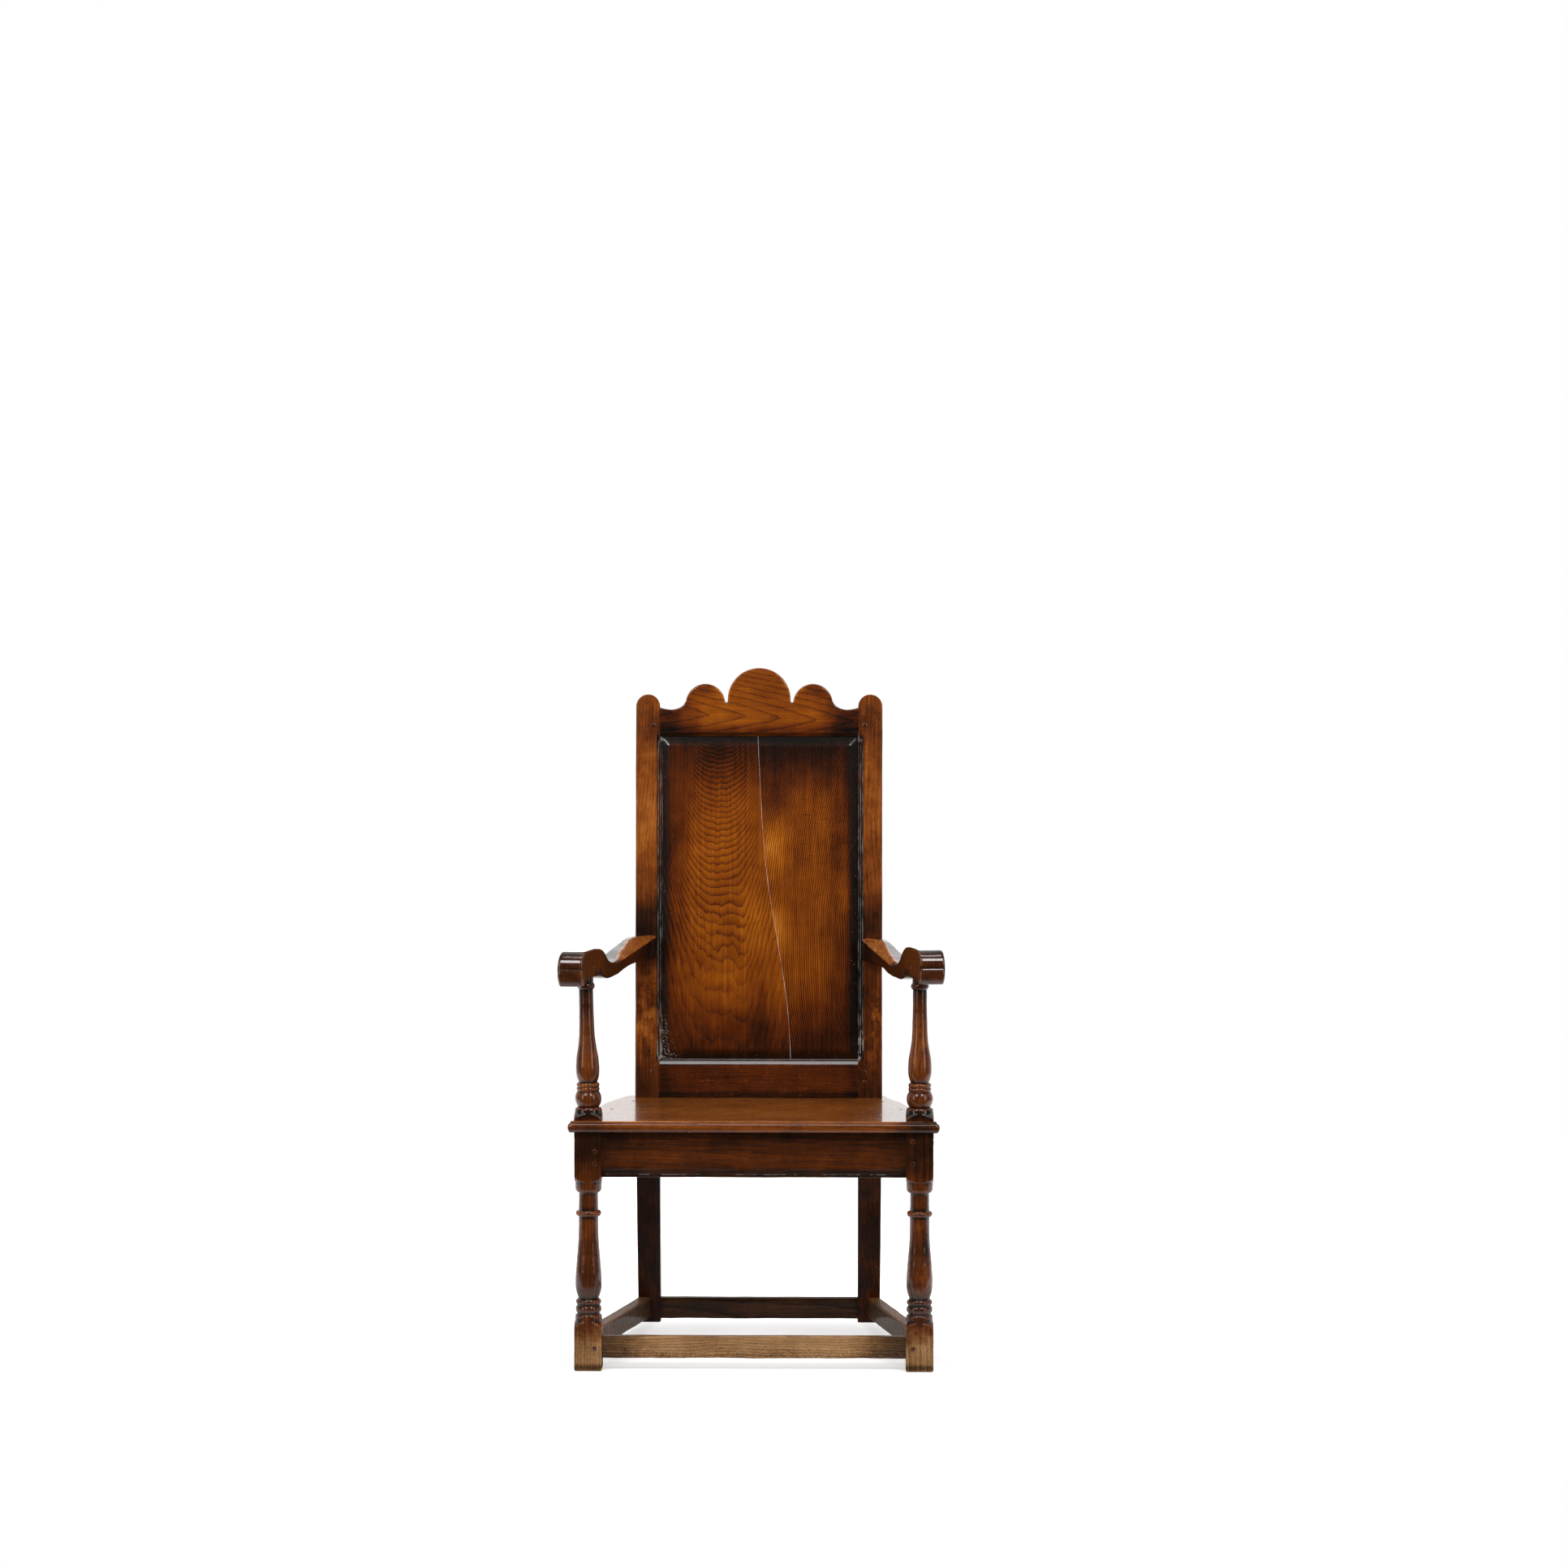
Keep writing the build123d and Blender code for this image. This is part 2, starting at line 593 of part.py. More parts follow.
def worn_slope(side):
    """Cutter for the slope worn on the inner half of an arm's top, steeper than the arm is wide."""
    inner = arm_side_x(side, WEAR_Y)[0]
    across, back = Vector(1, 0, 0.4), Vector(0, 1, 0.204)
    slope = Plane(origin=(inner, WEAR_Y, ARM_WEAR[side]), x_dir=across, z_dir=across.cross(back))
    bottom = (Align.CENTER, Align.CENTER, Align.MIN)
    run = block((0, BIG), (165, BIG), (0, BIG))
    return slope * Box(BIG, BIG, 60, align=bottom) & run


def arm(side):
    """Arm built on the +X side: the side view between two splayed flats, worn down inside."""
    front, back = arm_side_x(side, ARM_FRONT_Y - 5), arm_side_x(side, ARM_OVER_Y)
    plan = [(x, ARM_FRONT_Y - 5) for x in front] + [(x, ARM_OVER_Y) for x in reversed(back)]
    part = arm_side(side) & extrude(make_face(Polyline(*plan, close=True)), amount=BIG)
    part -= worn_slope(side)
    part -= back_block((0, BIG), (0, 500), (0, 200))
    tenon_x = (ARM_TENON_X - ARM_TENON / 2, ARM_TENON_X + ARM_TENON / 2)
    tenon = block(tenon_x, (ARM_BACK_Y - 20, ARM_BACK_Y + ARM_TENON_DEPTH), ARM_TENON_Z)
    room = block(
        (tenon_x[0] - CHEEK_GAP, tenon_x[1] + CHEEK_GAP),
        (ARM_BACK_Y - 20, ARM_BACK_Y + ARM_TENON_DEPTH + END_GAP),
        (ARM_TENON_Z[0] - CHEEK_GAP, ARM_TENON_Z[1] + CHEEK_GAP),
    )
    socket = Cylinder(TENON_R + CHEEK_GAP, 60)
    shoulder = Cylinder(TENON_R + 4, 10, align=(Align.CENTER, Align.CENTER, Align.MAX))
    part -= splayed(Pos(POST_X, POST / 2, TENON_TOP + END_GAP - 30) * socket, side)
    part -= splayed(Pos(POST_X, POST / 2, ARM_SEAT) * shoulder, side)
    return part + tenon, room


# ---- standing the chair on its feet ---------------------------------------------------------------


def stand(part):
    """Tip a piece back with the whole chair."""
    return Rot(-LEAN, 0, 0) * part


def trim_foot(part):
    """Cut a foot level with the floor and round its worn lower arris."""
    part -= Pos(0, 0, -100) * Box(4 * BIG, 4 * BIG, 200)
    sole = part.faces().sort_by(Axis.Z)[0]
    return fillet(sole.edges(), 3.5)


# ---- assembly -------------------------------------------------------------------------------------


def drill(pieces, names, hole):
    """Take a peg's hole out of the pieces that it passes through."""
    for name in names:
        pieces[name] = pieces[name] - hole


FRONT_TENON_Y = 12.0  # front faces of the tenons of the rails and stretchers across
REAR_RAIL_Y = (440.0, 463.0)
REAR_STRETCHER_Y = 482.0
SIDE_RAIL_X = (295.0, 209.0)  # middles of the side members at the post and at the leg
SIDE_STRETCHER_X = (288.6, 220.0)
MOULDING_Z = (344.0, 350.5)  # two scratched lines along the bottom of the front rail
STRIP_HALF = POST_X - POST / 2 - 4.0  # which stop just short of the posts


def scratched(rail):
    """Run the scratch stock's lines along the front rail."""
    for z in MOULDING_Z:
        line = Pos(0, RAIL_SETBACK, z) * Rot(45, 0, 0) * Box(BIG, 1.6, 1.6)
        rail -= line & block((-STRIP_HALF, STRIP_HALF), (-BIG, BIG), (0, BIG))
    return rail


def build_frame():
    """All joined pieces in the joiner's frame, mortised but not yet pegged."""
    between_posts = POST_X - POST / 2
    front_rail_y = (RAIL_SETBACK, RAIL_SETBACK + RAIL_THICK)
    front_rail, front_room = cross_member(
        between_posts, front_rail_y, (RAIL_BOTTOM, RAIL_TOP), FRONT_TENON_Y, 32.0
    )
    front_bar, front_bar_room = cross_member(
        between_posts, (8.0, 8.0 + STRETCHER_THICK), FRONT_STRETCHER_Z, FRONT_TENON_Y + 1, 30.0
    )
    back_rail, back_room = cross_member(
        STILE_INNER, REAR_RAIL_Y, (RAIL_BOTTOM, RAIL_TOP), REAR_RAIL_Y[0] + 10, 28.0
    )
    back_bar_y = (REAR_STRETCHER_Y, REAR_STRETCHER_Y + STRETCHER_THICK)
    back_bar, back_bar_room = cross_member(
        STILE_INNER, back_bar_y, BACK_STRETCHER_Z, REAR_STRETCHER_Y + 10, 26.0
    )
    side_rail, side_room = side_member(*SIDE_RAIL_X, RAIL_THICK, (RAIL_BOTTOM, RAIL_TOP))
    side_bar, side_bar_room = side_member(*SIDE_STRETCHER_X, STRETCHER_THICK, SIDE_STRETCHER_Z)
    lower_rail, lower_room = lower_back_rail()
    crest, crest_room = crest_rail()
    panel_right, panel_left = back_panels()
    upright = stile()
    for room in (back_room, back_bar_room, side_room, side_bar_room, lower_room, crest_room):
        upright -= room

    pieces = {
        "crest_rail": crest,
        "lower_back_rail": lower_rail,
        "back_panel_right": panel_right,
        "back_panel_left": panel_left,
        "seat_board": seat_board(),
        "front_seat_rail": scratched(front_rail),
        "rear_seat_rail": back_rail,
        "front_stretcher": front_bar,
        "rear_stretcher": back_bar,
    }
    for side, sign in SIDES.items():
        arm_piece, arm_room = arm(side)
        post = front_post(side)
        for room in (front_room, front_bar_room, side_room, side_bar_room):
            post -= room
        handed = {
            "front_post_": post,
            "rear_post_": upright - arm_room,
            "arm_": arm_piece,
            "side_seat_rail_": side_rail,
            "side_stretcher_": side_bar,
        }
        for name, part in handed.items():
            pieces[name + side] = part if sign > 0 else mirrored(part)
    return pieces


RAIL_PEG_X = POST_X - 12.0  # pegs of the members across, seen on the front posts
LEG_PEG_X = STILE_INNER + 9.5  # and on the back of the stiles
BACK_PEG_X = STILE_INNER + 12.3  # and of the back's rails, on their front
FRONT_RAIL_PEG_Z = {"left": (362.0, 401.0), "right": (362.0, 383.0)}
LOWER_RAIL_PEGS = {"left": (46.0, 28.0), "right": (46.0,)}  # heights up the back's slope
CREST_PEG = 677.8
SEAT_PEGS = ((224.7, 349.0), (257.0, 210.0))  # (X, Y) over each side rail


def peg_joints(pieces):
    """Bore and peg every joint; returns each group of pegs."""
    groups = {}

    def drive(group, names, at, into, length, radius=PEG_RADIUS):
        solid, hole = peg(at, into, length, radius)
        drill(pieces, names, hole)
        groups.setdefault(group, []).append(solid)

    into_back = (0, cos(BACK_RAKE), -sin(BACK_RAKE))
    into_leg = (0, -cos(LEG_RAKE), -sin(LEG_RAKE))
    for side, sign in SIDES.items():
        post, upright, arm_name = "front_post_" + side, "rear_post_" + side, "arm_" + side
        rail, bar = "side_seat_rail_" + side, "side_stretcher_" + side
        outer_post, inwards = sign * (POST_X + POST / 2), (-sign, 0, 0)
        for z in FRONT_RAIL_PEG_Z[side]:
            at = (sign * RAIL_PEG_X, 0, z)
            drive("pegs_front_seat_rail", [post, "front_seat_rail"], at, (0, 1, 0), 29)
        at = (sign * (RAIL_PEG_X + 0.8), 0, 40)
        drive("pegs_front_stretcher", [post, "front_stretcher"], at, (0, 1, 0), 29)
        for z in (360.0, 395.0):
            drive("pegs_side_seat_rails", [post, rail], (outer_post, 36, z), inwards, 30)
            at = (sign * 224.2, leg_front_y(z) + 8, z)
            drive("pegs_side_seat_rails", [upright, rail], at, inwards, 31)
            at = (sign * LEG_PEG_X, leg_front_y(z) + STILE_THICK, z)
            drive("pegs_rear_seat_rail", [upright, "rear_seat_rail"], at, into_leg, 27)
        drive("pegs_side_stretchers", [post, bar], (outer_post, 36, 47), inwards, 30)
        at = (sign * 221.8, leg_front_y(47) + 8, 47)
        drive("pegs_side_stretchers", [upright, bar], at, inwards, 24)
        at = (sign * LEG_PEG_X, leg_front_y(43) + STILE_THICK, 43)
        drive("pegs_rear_stretcher", [upright, "rear_stretcher"], at, into_leg, 27)
        for up in LOWER_RAIL_PEGS[side]:
            at = BACK.from_local_coords((sign * BACK_PEG_X, up, 0))
            drive("pegs_lower_back_rail", [upright, "lower_back_rail"], at, into_back, 27)
        at = BACK.from_local_coords((sign * BACK_PEG_X, CREST_PEG, 0))
        drive("pegs_crest_rail", [upright, "crest_rail"], at, into_back, 25)
        at = (sign * STILE_OUTER, ARM_BACK_Y + 11, 709)
        drive("pegs_arms", [upright, arm_name], at, inwards, 29, 3.4)
        at = (sign * arm_side_x(side, POST / 2)[0], POST / 2, 700)
        drive("pegs_arms", [arm_name, post], at, (sign, 0, 0), 28, 3.0)
        for x, y in SEAT_PEGS:
            at = (sign * x, y, SEAT_TOP)
            drive("seat_pegs", ["seat_board", rail], at, (0, 0, -1), 42, SEAT_PEG_RADIUS)
    at = (5, 18, SEAT_TOP)
    drive("seat_pegs", ["seat_board", "front_seat_rail"], at, (0, 0, -1), 42, SEAT_PEG_RADIUS)
    return groups


def main():
    pieces = build_frame()
    pegs = peg_joints(pieces)
    pieces.update({name: Part() + solids for name, solids in pegs.items()})
    standing = {name: stand(part) for name, part in pieces.items()}
    for name in standing:
        if name.startswith(("front_post", "rear_post")):
            standing[name] = trim_foot(standing[name])
    boxes = [part.bounding_box() for part in standing.values()]
    low = Vector(min(box.min.X for box in boxes), min(box.min.Y for box in boxes))
    high = Vector(max(box.max.X for box in boxes), max(box.max.Y for box in boxes))
    middle = (low + high) / 2
    print(f"every piece moves {-middle.X:.3f} mm in X and {-middle.Y:.3f} mm in Y")
    for name, part in standing.items():
        export_step(Pos(*-middle) * part, os.path.join("parts", name + ".step"))


main()
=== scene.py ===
"""Joined wainscot armchair: pieces, finishes, floor and light, laid out as an add-on.

Every piece is worked out in the joiner's square frame: X to the sitter's left, Y from the front faces
of the front posts towards the back, Z up, in millimetres. stand() tips it back with the chair and gives
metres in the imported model's frame.
"""

from math import atan, cos, pi, radians, sin, sqrt, tan

import bmesh
import bpy
import numpy as np
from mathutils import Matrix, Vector


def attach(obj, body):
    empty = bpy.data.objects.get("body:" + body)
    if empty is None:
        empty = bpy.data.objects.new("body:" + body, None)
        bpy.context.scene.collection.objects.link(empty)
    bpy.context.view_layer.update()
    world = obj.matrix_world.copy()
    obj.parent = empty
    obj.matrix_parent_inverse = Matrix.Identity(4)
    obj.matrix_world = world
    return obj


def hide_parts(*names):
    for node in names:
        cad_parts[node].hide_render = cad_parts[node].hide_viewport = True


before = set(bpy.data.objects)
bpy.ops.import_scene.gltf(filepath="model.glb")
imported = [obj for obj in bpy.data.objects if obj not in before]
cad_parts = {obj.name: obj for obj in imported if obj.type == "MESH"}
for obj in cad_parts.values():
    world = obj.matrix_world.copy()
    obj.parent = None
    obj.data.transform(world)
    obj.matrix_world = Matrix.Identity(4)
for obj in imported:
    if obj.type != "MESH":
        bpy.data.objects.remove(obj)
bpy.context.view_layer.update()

bl_info = {
    "name": "Wainscot chair",
    "version": (1, 0, 0),
    "blender": (4, 5, 0),
    "location": "3D View > Sidebar > Chair",
    "description": "A joined oak armchair with turned posts and a panelled back",
    "category": "Add Mesh",
}

# ---- the joiner's measures, in millimetres ---------------------------------------------------------

LEAN = radians(2.1)
ORIGIN = (3.724, -256.226)  # from the joiner's frame to the middle of the footprint

SEAT_TOP = 437.0
SEAT_THICK = 20.0
SEAT_FRONT_HALF = 323.6
SEAT_OVERHANG = 16.0
SEAT_STEP = 2.6
SEAT_DIP = 0.8  # worn hollow where it is sat on
SEAT_DIP_Y = 190.0
SEAT_BACK_Y = 462.2
SEAT_SIDE = {
    "left": [(270, 300), (262, 347), (253, 376), (246, 404), (240, 430), (236.5, SEAT_BACK_Y)],
    "right": [(281, 306), (274, 343), (263, 391), (252, 433), (246, 450), (240, SEAT_BACK_Y)],
}

POST = 48.0
POST_X = 288.0
POST_SPLAY = {"left": 0.0, "right": radians(1.15)}
SPLAY_FROM = 459.0
ARM_SEAT = 683.2

RAIL_Z = (338.0, 417.0)

STILE_INNER = 180.5
STILE_OUTER = 225.0
STILE_FOOT_OUTER = 221.5
STILE_THICK = 44.0
STILE_TOP_THICK = 32.0
STILE_TOP = 1170.3
KNEE_Y = 416.2
KNEE_EASE = 2.025  # how far the knee is eased off behind
KNEE_REACH = 55.0  # and how far up and down
LEG_FOOT_Y = 477.0
LEG_MIDDLE_Y = 496.0
LEG_CHAMFER = 9.0
LEG_CHAMFER_Z = (76.0, RAIL_Z[0] - 2)
MOULDING_IN = {"left": 0.5, "right": 6.0}  # how far it stands into the opening
BACK_TOP_Y = 459.7
RAKE = atan((BACK_TOP_Y - KNEE_Y) / (STILE_TOP - SEAT_TOP))

RAIL_SETBACK = 4.0
RAIL_THICK = 24.0
SCRATCH_Z = (344.0, 350.5)  # middles of the front rail's two lines
SCRATCH_HALF = 1.25  # and half their width
LOWER_RAIL_TOP = 70.1
CREST_BOTTOM = 658.3
BACK_RAIL_THICK = 26.0
PANEL_SETBACK = 9.15
PANEL_EDGE = 7.0
PANEL_FLAT = 0.5

CRACK = [  # split of the panel, X and height on the back
    (-3.0, 672), (-2.3, 655), (3.2, 546), (12.6, 419), (24.5, 338), (38.5, 257), (52.6, 159),
    (58.0, 72), (58.8, 52),
]

REAR_RAIL_Y = (440.0, 463.0)
SIDE_RAIL_X = (295.0, 209.0)  # middles of the side members at the post and at the leg
RAIL_ARRIS = 1.6
SIDE_STRETCHER_X = (288.6, 220.0)
FRONT_STRETCHER_Y = (8.0, 30.0)
REAR_STRETCHER_Y = (482.0, 504.0)
FRONT_STRETCHER_Z = (22.5, 60.5)
SIDE_STRETCHER_Z = (28.0, 65.0)
REAR_STRETCHER_Z = (24.0, 62.0)
STRETCHER_THICK = 22.0
STRETCHER_ARRIS = 2.2

FOOT_ROUND = 3.5  # radius of the soles' worn edges
FOOT_LEVEL = 60.0  # height over which the feet turn level with the floor

ARM_TOP = {
    "left": [
        (392, 726.6), (372, 725.4), (335, 720), (298, 713.8), (262, 708.4), (228, 703.4), (196, 699.6),
        (165, 698.4), (138, 702), (116, 711), (101, 722), (84, 731), (62, 735.6), (20, 736.8),
        (-20, 735.6),
    ],
    "right": [
        (392, 731.6), (364, 730.9), (330, 726.4), (298, 721), (267, 716.6), (236, 711), (206, 705.4),
        (176, 702), (150, 702), (129, 706), (113, 713), (100, 721), (84, 728), (62, 732), (20, 733.4),
        (-20, 732),
    ],
}
ARM_UNDER = {
    "left": [
        (74, 694.6), (81, 689.5), (90, 682), (104, 676.6), (122, 674.6), (150, 674.6), (190, 675.4),
        (228, 679.6), (268, 684.6), (320, 686.6), (392, 686),
    ],
    "right": [
        (74, 694.6), (81, 690), (90, 682.5), (104, 677.4), (122, 675.2), (150, 675.8), (190, 679.3),
        (232, 685), (270, 689), (320, 690.6), (392, 690),
    ],
}
ARM_FRONT_X = {"left": (287.5, 330.0), "right": (294.5, 337.5)}
ARM_BACK_X = (188.0, 223.5)
ARM_FRONT_Y = -46.0
ARM_BACK_Y = KNEE_Y + tan(RAKE) * (712.0 - SEAT_TOP)
ARM_END_Y = ARM_BACK_Y + 3.0
GRIP_LIFT = {"left": 5.5, "right": 0.5}
ARM_WEAR = {"left": 708.4, "right": 714.2}  # height of the worn slope at the arm's inner side
WEAR_Y = 309.0  # where that height is measured
WEAR_ACROSS = 0.4  # rise of the slope outwards
WEAR_ALONG = 0.204  # and backwards

PEG_Z = {  # heights of the pegs of each joint
    "front rail left": (362.0, 401.0),
    "front rail right": (362.0, 383.0),
    "seat rails": (360.0, 395.0),
    "front stretcher": 40.0,
    "side stretchers": 47.0,
    "rear stretcher": 43.0,
    "arm to stile": 709.0,
    "arm to post": 700.0,
}
PEG_UP = {  # and, up the raked back, of its rails' pegs
    "lower rail left": (46.0, 28.0),
    "lower rail right": (46.0,),
    "crest": 677.8,
}
POST_PEG_X = (276.0, 276.8)  # in the posts' fronts, at the rail and at the stretcher
POST_PEG_Y = 36.0  # in the posts' outer sides
STILE_PEG_X = 192.8
LEG_PEG_X = 190.0  # in the backs of the legs
LEG_PEG_BACK = 8.0  # in their outer sides, behind the front face
LEG_FACE_X = (224.2, 221.8)  # the legs' outer faces, at the rails and at the stretchers
SEAT_PEGS = ((224.7, 349.0), (257.0, 210.0))
SEAT_FRONT_PEG = (5.0, 18.0)
ARM_PEG_RADIUS = (3.4, 3.0)  # at the stile and at the post
SEAT_PEG = (3.2, 0.3)  # radius and height

SIDES = {"left": 1, "right": -1}
SHARP_ANGLE = radians(38)
WELD = 2e-6  # in metres


# ---- curves and surfaces ---------------------------------------------------------------------------


def size(name):
    """One of the small sizes among the settings, in millimetres."""
    return getattr(bpy.context.scene.chair_sizes, name) * 1000.0


def stand(points):
    """Turn by the lean about X, move to the footprint's middle and change millimetres to metres."""
    x, y, z = points[..., 0], points[..., 1], points[..., 2]
    back = y * cos(LEAN) + z * sin(LEAN) + ORIGIN[1]
    up = z * cos(LEAN) - y * sin(LEAN)
    return np.stack([x + ORIGIN[0], back, up], -1) / 1000.0


def on_back(x, up, out):
    """Point of the raked back: x across, up the slope from the seat, out of the stiles' front."""
    y = KNEE_Y + up * sin(RAKE) - out * cos(RAKE)
    z = SEAT_TOP + up * cos(RAKE) + out * sin(RAKE)
    return np.stack(np.broadcast_arrays(x, y, z), -1)


def ripple(t, seed, longest, waves=5):
    """Slow uneven line, about -1 to 1: sum of sines of falling length and height, with seeded phases."""
    rng = np.random.default_rng(seed)
    line = np.zeros(np.shape(t))
    for k in range(waves):
        length = longest / 1.8**k
        line = line + np.sin(2 * pi * np.asarray(t) / length + rng.uniform(0, 2 * pi)) / 1.5**k
    return line / 2.2


def line_through(points, step):
    """Straight runs through the points, with a new point about every step."""
    points = np.asarray(points, float)
    runs = []
    for start, end in zip(points[:-1], points[1:]):
        count = max(2, int(np.hypot(*(end - start)) / step) + 1)
        runs.append(start + (end - start) * np.linspace(0, 1, count)[:, None])
    return np.concatenate(runs)


def arc_through(start, middle, end, count):
    """Circle through three points, from the first to the last: centre where the bisectors cross."""
    a, b, c = (np.asarray(p, float) for p in (start, middle, end))
    rows = np.array([b - a, c - a]) * 2
    centre = np.linalg.solve(rows, [b @ b - a @ a, c @ c - a @ a])
    angle = [np.arctan2(*(p - centre)[::-1]) for p in (a, b, c)]
    turn = (angle[2] - angle[0]) % (2 * pi)
    if (angle[1] - angle[0]) % (2 * pi) > turn:
        turn -= 2 * pi
    along = angle[0] + turn * np.linspace(0, 1, count)
    return centre + np.hypot(*(a - centre)) * np.stack([np.cos(along), np.sin(along)], -1)


def spline_through(points, step):
    """Natural cubic spline through the points, with chord lengths as its parameter."""
    points = np.asarray(points, float)
    t = np.concatenate([[0], np.cumsum(np.hypot(*np.diff(points, axis=0).T))])
    h, steps = np.diff(t), np.diff(points, axis=0)
    n = len(t)
    system, right = np.eye(n), np.zeros((n, 2))
    for i in range(1, n - 1):
        system[i, i - 1 : i + 2] = h[i - 1], 2 * (h[i - 1] + h[i]), h[i]
        right[i] = 6 * (steps[i] / h[i] - steps[i - 1] / h[i - 1])
    bend = np.linalg.solve(system, right)
    at = np.linspace(0, t[-1], max(3, int(t[-1] / step) + 1))
    i = np.clip(np.searchsorted(t, at, side="right") - 1, 0, n - 2)
    u, hi = (at - t[i])[:, None], h[i][:, None]
    v = hi - u
    curve = (bend[i] * v**3 + bend[i + 1] * u**3) / (6 * hi)
    curve = curve + (points[i] / hi - bend[i] * hi / 6) * v
    return curve + (points[i + 1] / hi - bend[i + 1] * hi / 6) * u


def joined(*runs):
    """One line from several, without doubled points."""
    line = np.concatenate(runs)
    keep = np.concatenate([[True], np.hypot(*np.diff(line, axis=0).T) > 1e-4])
    return line[keep]


def spaced(line, count):
    """The same line with evenly spaced points."""
    length = np.concatenate([[0], np.cumsum(np.hypot(*np.diff(line, axis=0).T))])
    at = np.linspace(0, length[-1], count)
    return np.stack([np.interp(at, length, line[:, k]) for k in range(line.shape[1])], -1)


def outward(line, closed=False):
    """Unit normals to the right of the line's direction."""
    if closed:
        ahead = np.roll(line, -1, 0) - np.roll(line, 1, 0)
    else:
        ahead = np.gradient(line, axis=0)
    ahead /= np.hypot(*ahead.T)[:, None]
    return np.stack([ahead[:, 1], -ahead[:, 0]], -1)


def softly_lesser(a, b, soft):
    """The smaller of two values, blended where they differ by less than soft."""
    share = np.clip(0.5 + 0.5 * (a - b) / soft, 0, 1)
    return a * (1 - share) + b * share - soft * share * (1 - share)


def box_loop(low, high, radius, flat=(0, 0, 0, 0), side_steps=5, turn_steps=5, reeds=0.0):
    """Rounded rectangles, one for each station: arcs of the given radii joined by straight sides.

    low and high are (stations, 2); radius is (stations, 4) for the corners low-low, high-low, high-high,
    low-high; flat is 1 where a corner is a straight chamfer and not an arc, and such a chamfer carries
    three small reeds of the given height over its width.
    """
    corners = ((0, 0, pi), (1, 0, 1.5 * pi), (1, 1, 0.0), (0, 1, 0.5 * pi))
    edges = np.stack([low, high], 1)
    turn = np.linspace(0, pi / 2, turn_steps)
    loop = []
    for k, (ix, iy, first) in enumerate(corners):
        r = radius[:, k][:, None]
        corner = np.stack([edges[:, ix, 0], edges[:, iy, 1]], -1)
        inward = np.array([1 - 2 * ix, 1 - 2 * iy])
        centre = corner + inward * r
        arc = np.stack([np.cos(first + turn), np.sin(first + turn)], -1)
        share = np.linspace(0, 1, turn_steps)[:, None]
        chord = arc[0] + (arc[-1] - arc[0]) * share
        shape = arc * (1 - flat[k]) + chord * flat[k]
        swell = flat[k] * reeds * (np.abs(np.sin(3 * pi * share)) - 0.3)
        middle = arc[0] + arc[-1]
        swell = swell * middle / np.hypot(*middle)
        loop.append(centre[:, None, :] + r[:, :, None] * (shape + swell)[None])
    sides = []
    for k in range(4):
        start, end = loop[k][:, -1:], loop[(k + 1) % 4][:, :1]
        share = np.linspace(0, 1, side_steps + 1)[1:-1][None, :, None]
        sides += [loop[k], start + (end - start) * share]
    return np.concatenate(sides, 1)


def extruded(profile, middle, low, high, radius, turn_steps=7, across_steps=14, side_steps=4):
    """A flat outline carried across from low to high, its arrises rounded and its sides ruled inwards.

    The surface runs along the outline and, the other way, from the middle line of the low side out to
    the arris, round it, across, and back down the high side. low and high are given per point of the
    outline and again at the middle line; returns (points of the outline, steps, 3) as (u, v, across).
    """
    normal = outward(profile, closed=True)
    turn = np.linspace(0, pi / 2, turn_steps)
    rows = []

    def row(offset, across):
        rows.append(np.concatenate([offset, across[:, None]], 1))

    inner = profile - normal * radius[:, None]
    for share in np.linspace(0, 1, side_steps + 1)[:-1]:
        row(middle + (inner - middle) * share, low[1] + (low[0] - low[1]) * share)
    for angle in turn:
        row(inner + normal * (radius * np.sin(angle))[:, None], low[0] + radius * (1 - np.cos(angle)))
    for share in np.linspace(0, 1, across_steps + 1)[1:-1]:
        row(profile, low[0] + radius + (high[0] - low[0] - 2 * radius) * share)
    for angle in turn[::-1]:
        row(inner + normal * (radius * np.sin(angle))[:, None], high[0] - radius * (1 - np.cos(angle)))
    for share in np.linspace(1, 0, side_steps + 1)[1:]:
        row(middle + (inner - middle) * share, high[1] + (high[0] - high[1]) * share)
    return np.stack(rows, 1)


def capped(rows):
    """Rows with both ends closed: each end row is drawn in to its own middle in two steps."""
    ends = []
    for row in (rows[0], rows[-1]):
        middle = row.mean(0)
        ends.append([middle + (row - middle) * share for share in (0.0, 0.6)])
    return np.concatenate([ends[0], rows, ends[1][::-1]])


# ---- meshes ----------------------------------------------------------------------------------------


def grid_faces(rows, columns, wrap_rows, wrap_columns):
    """Corner numbers of the quads of a grid."""
    index = np.arange(rows * columns).reshape(rows, columns)
    if wrap_rows:
        index = np.concatenate([index, index[:1]])
    if wrap_columns:
        index = np.concatenate([index, index[:, :1]], 1)
    quads = [index[:-1, :-1], index[1:, :-1], index[1:, 1:], index[:-1, 1:]]
    return np.stack(quads, -1).reshape(-1, 4)


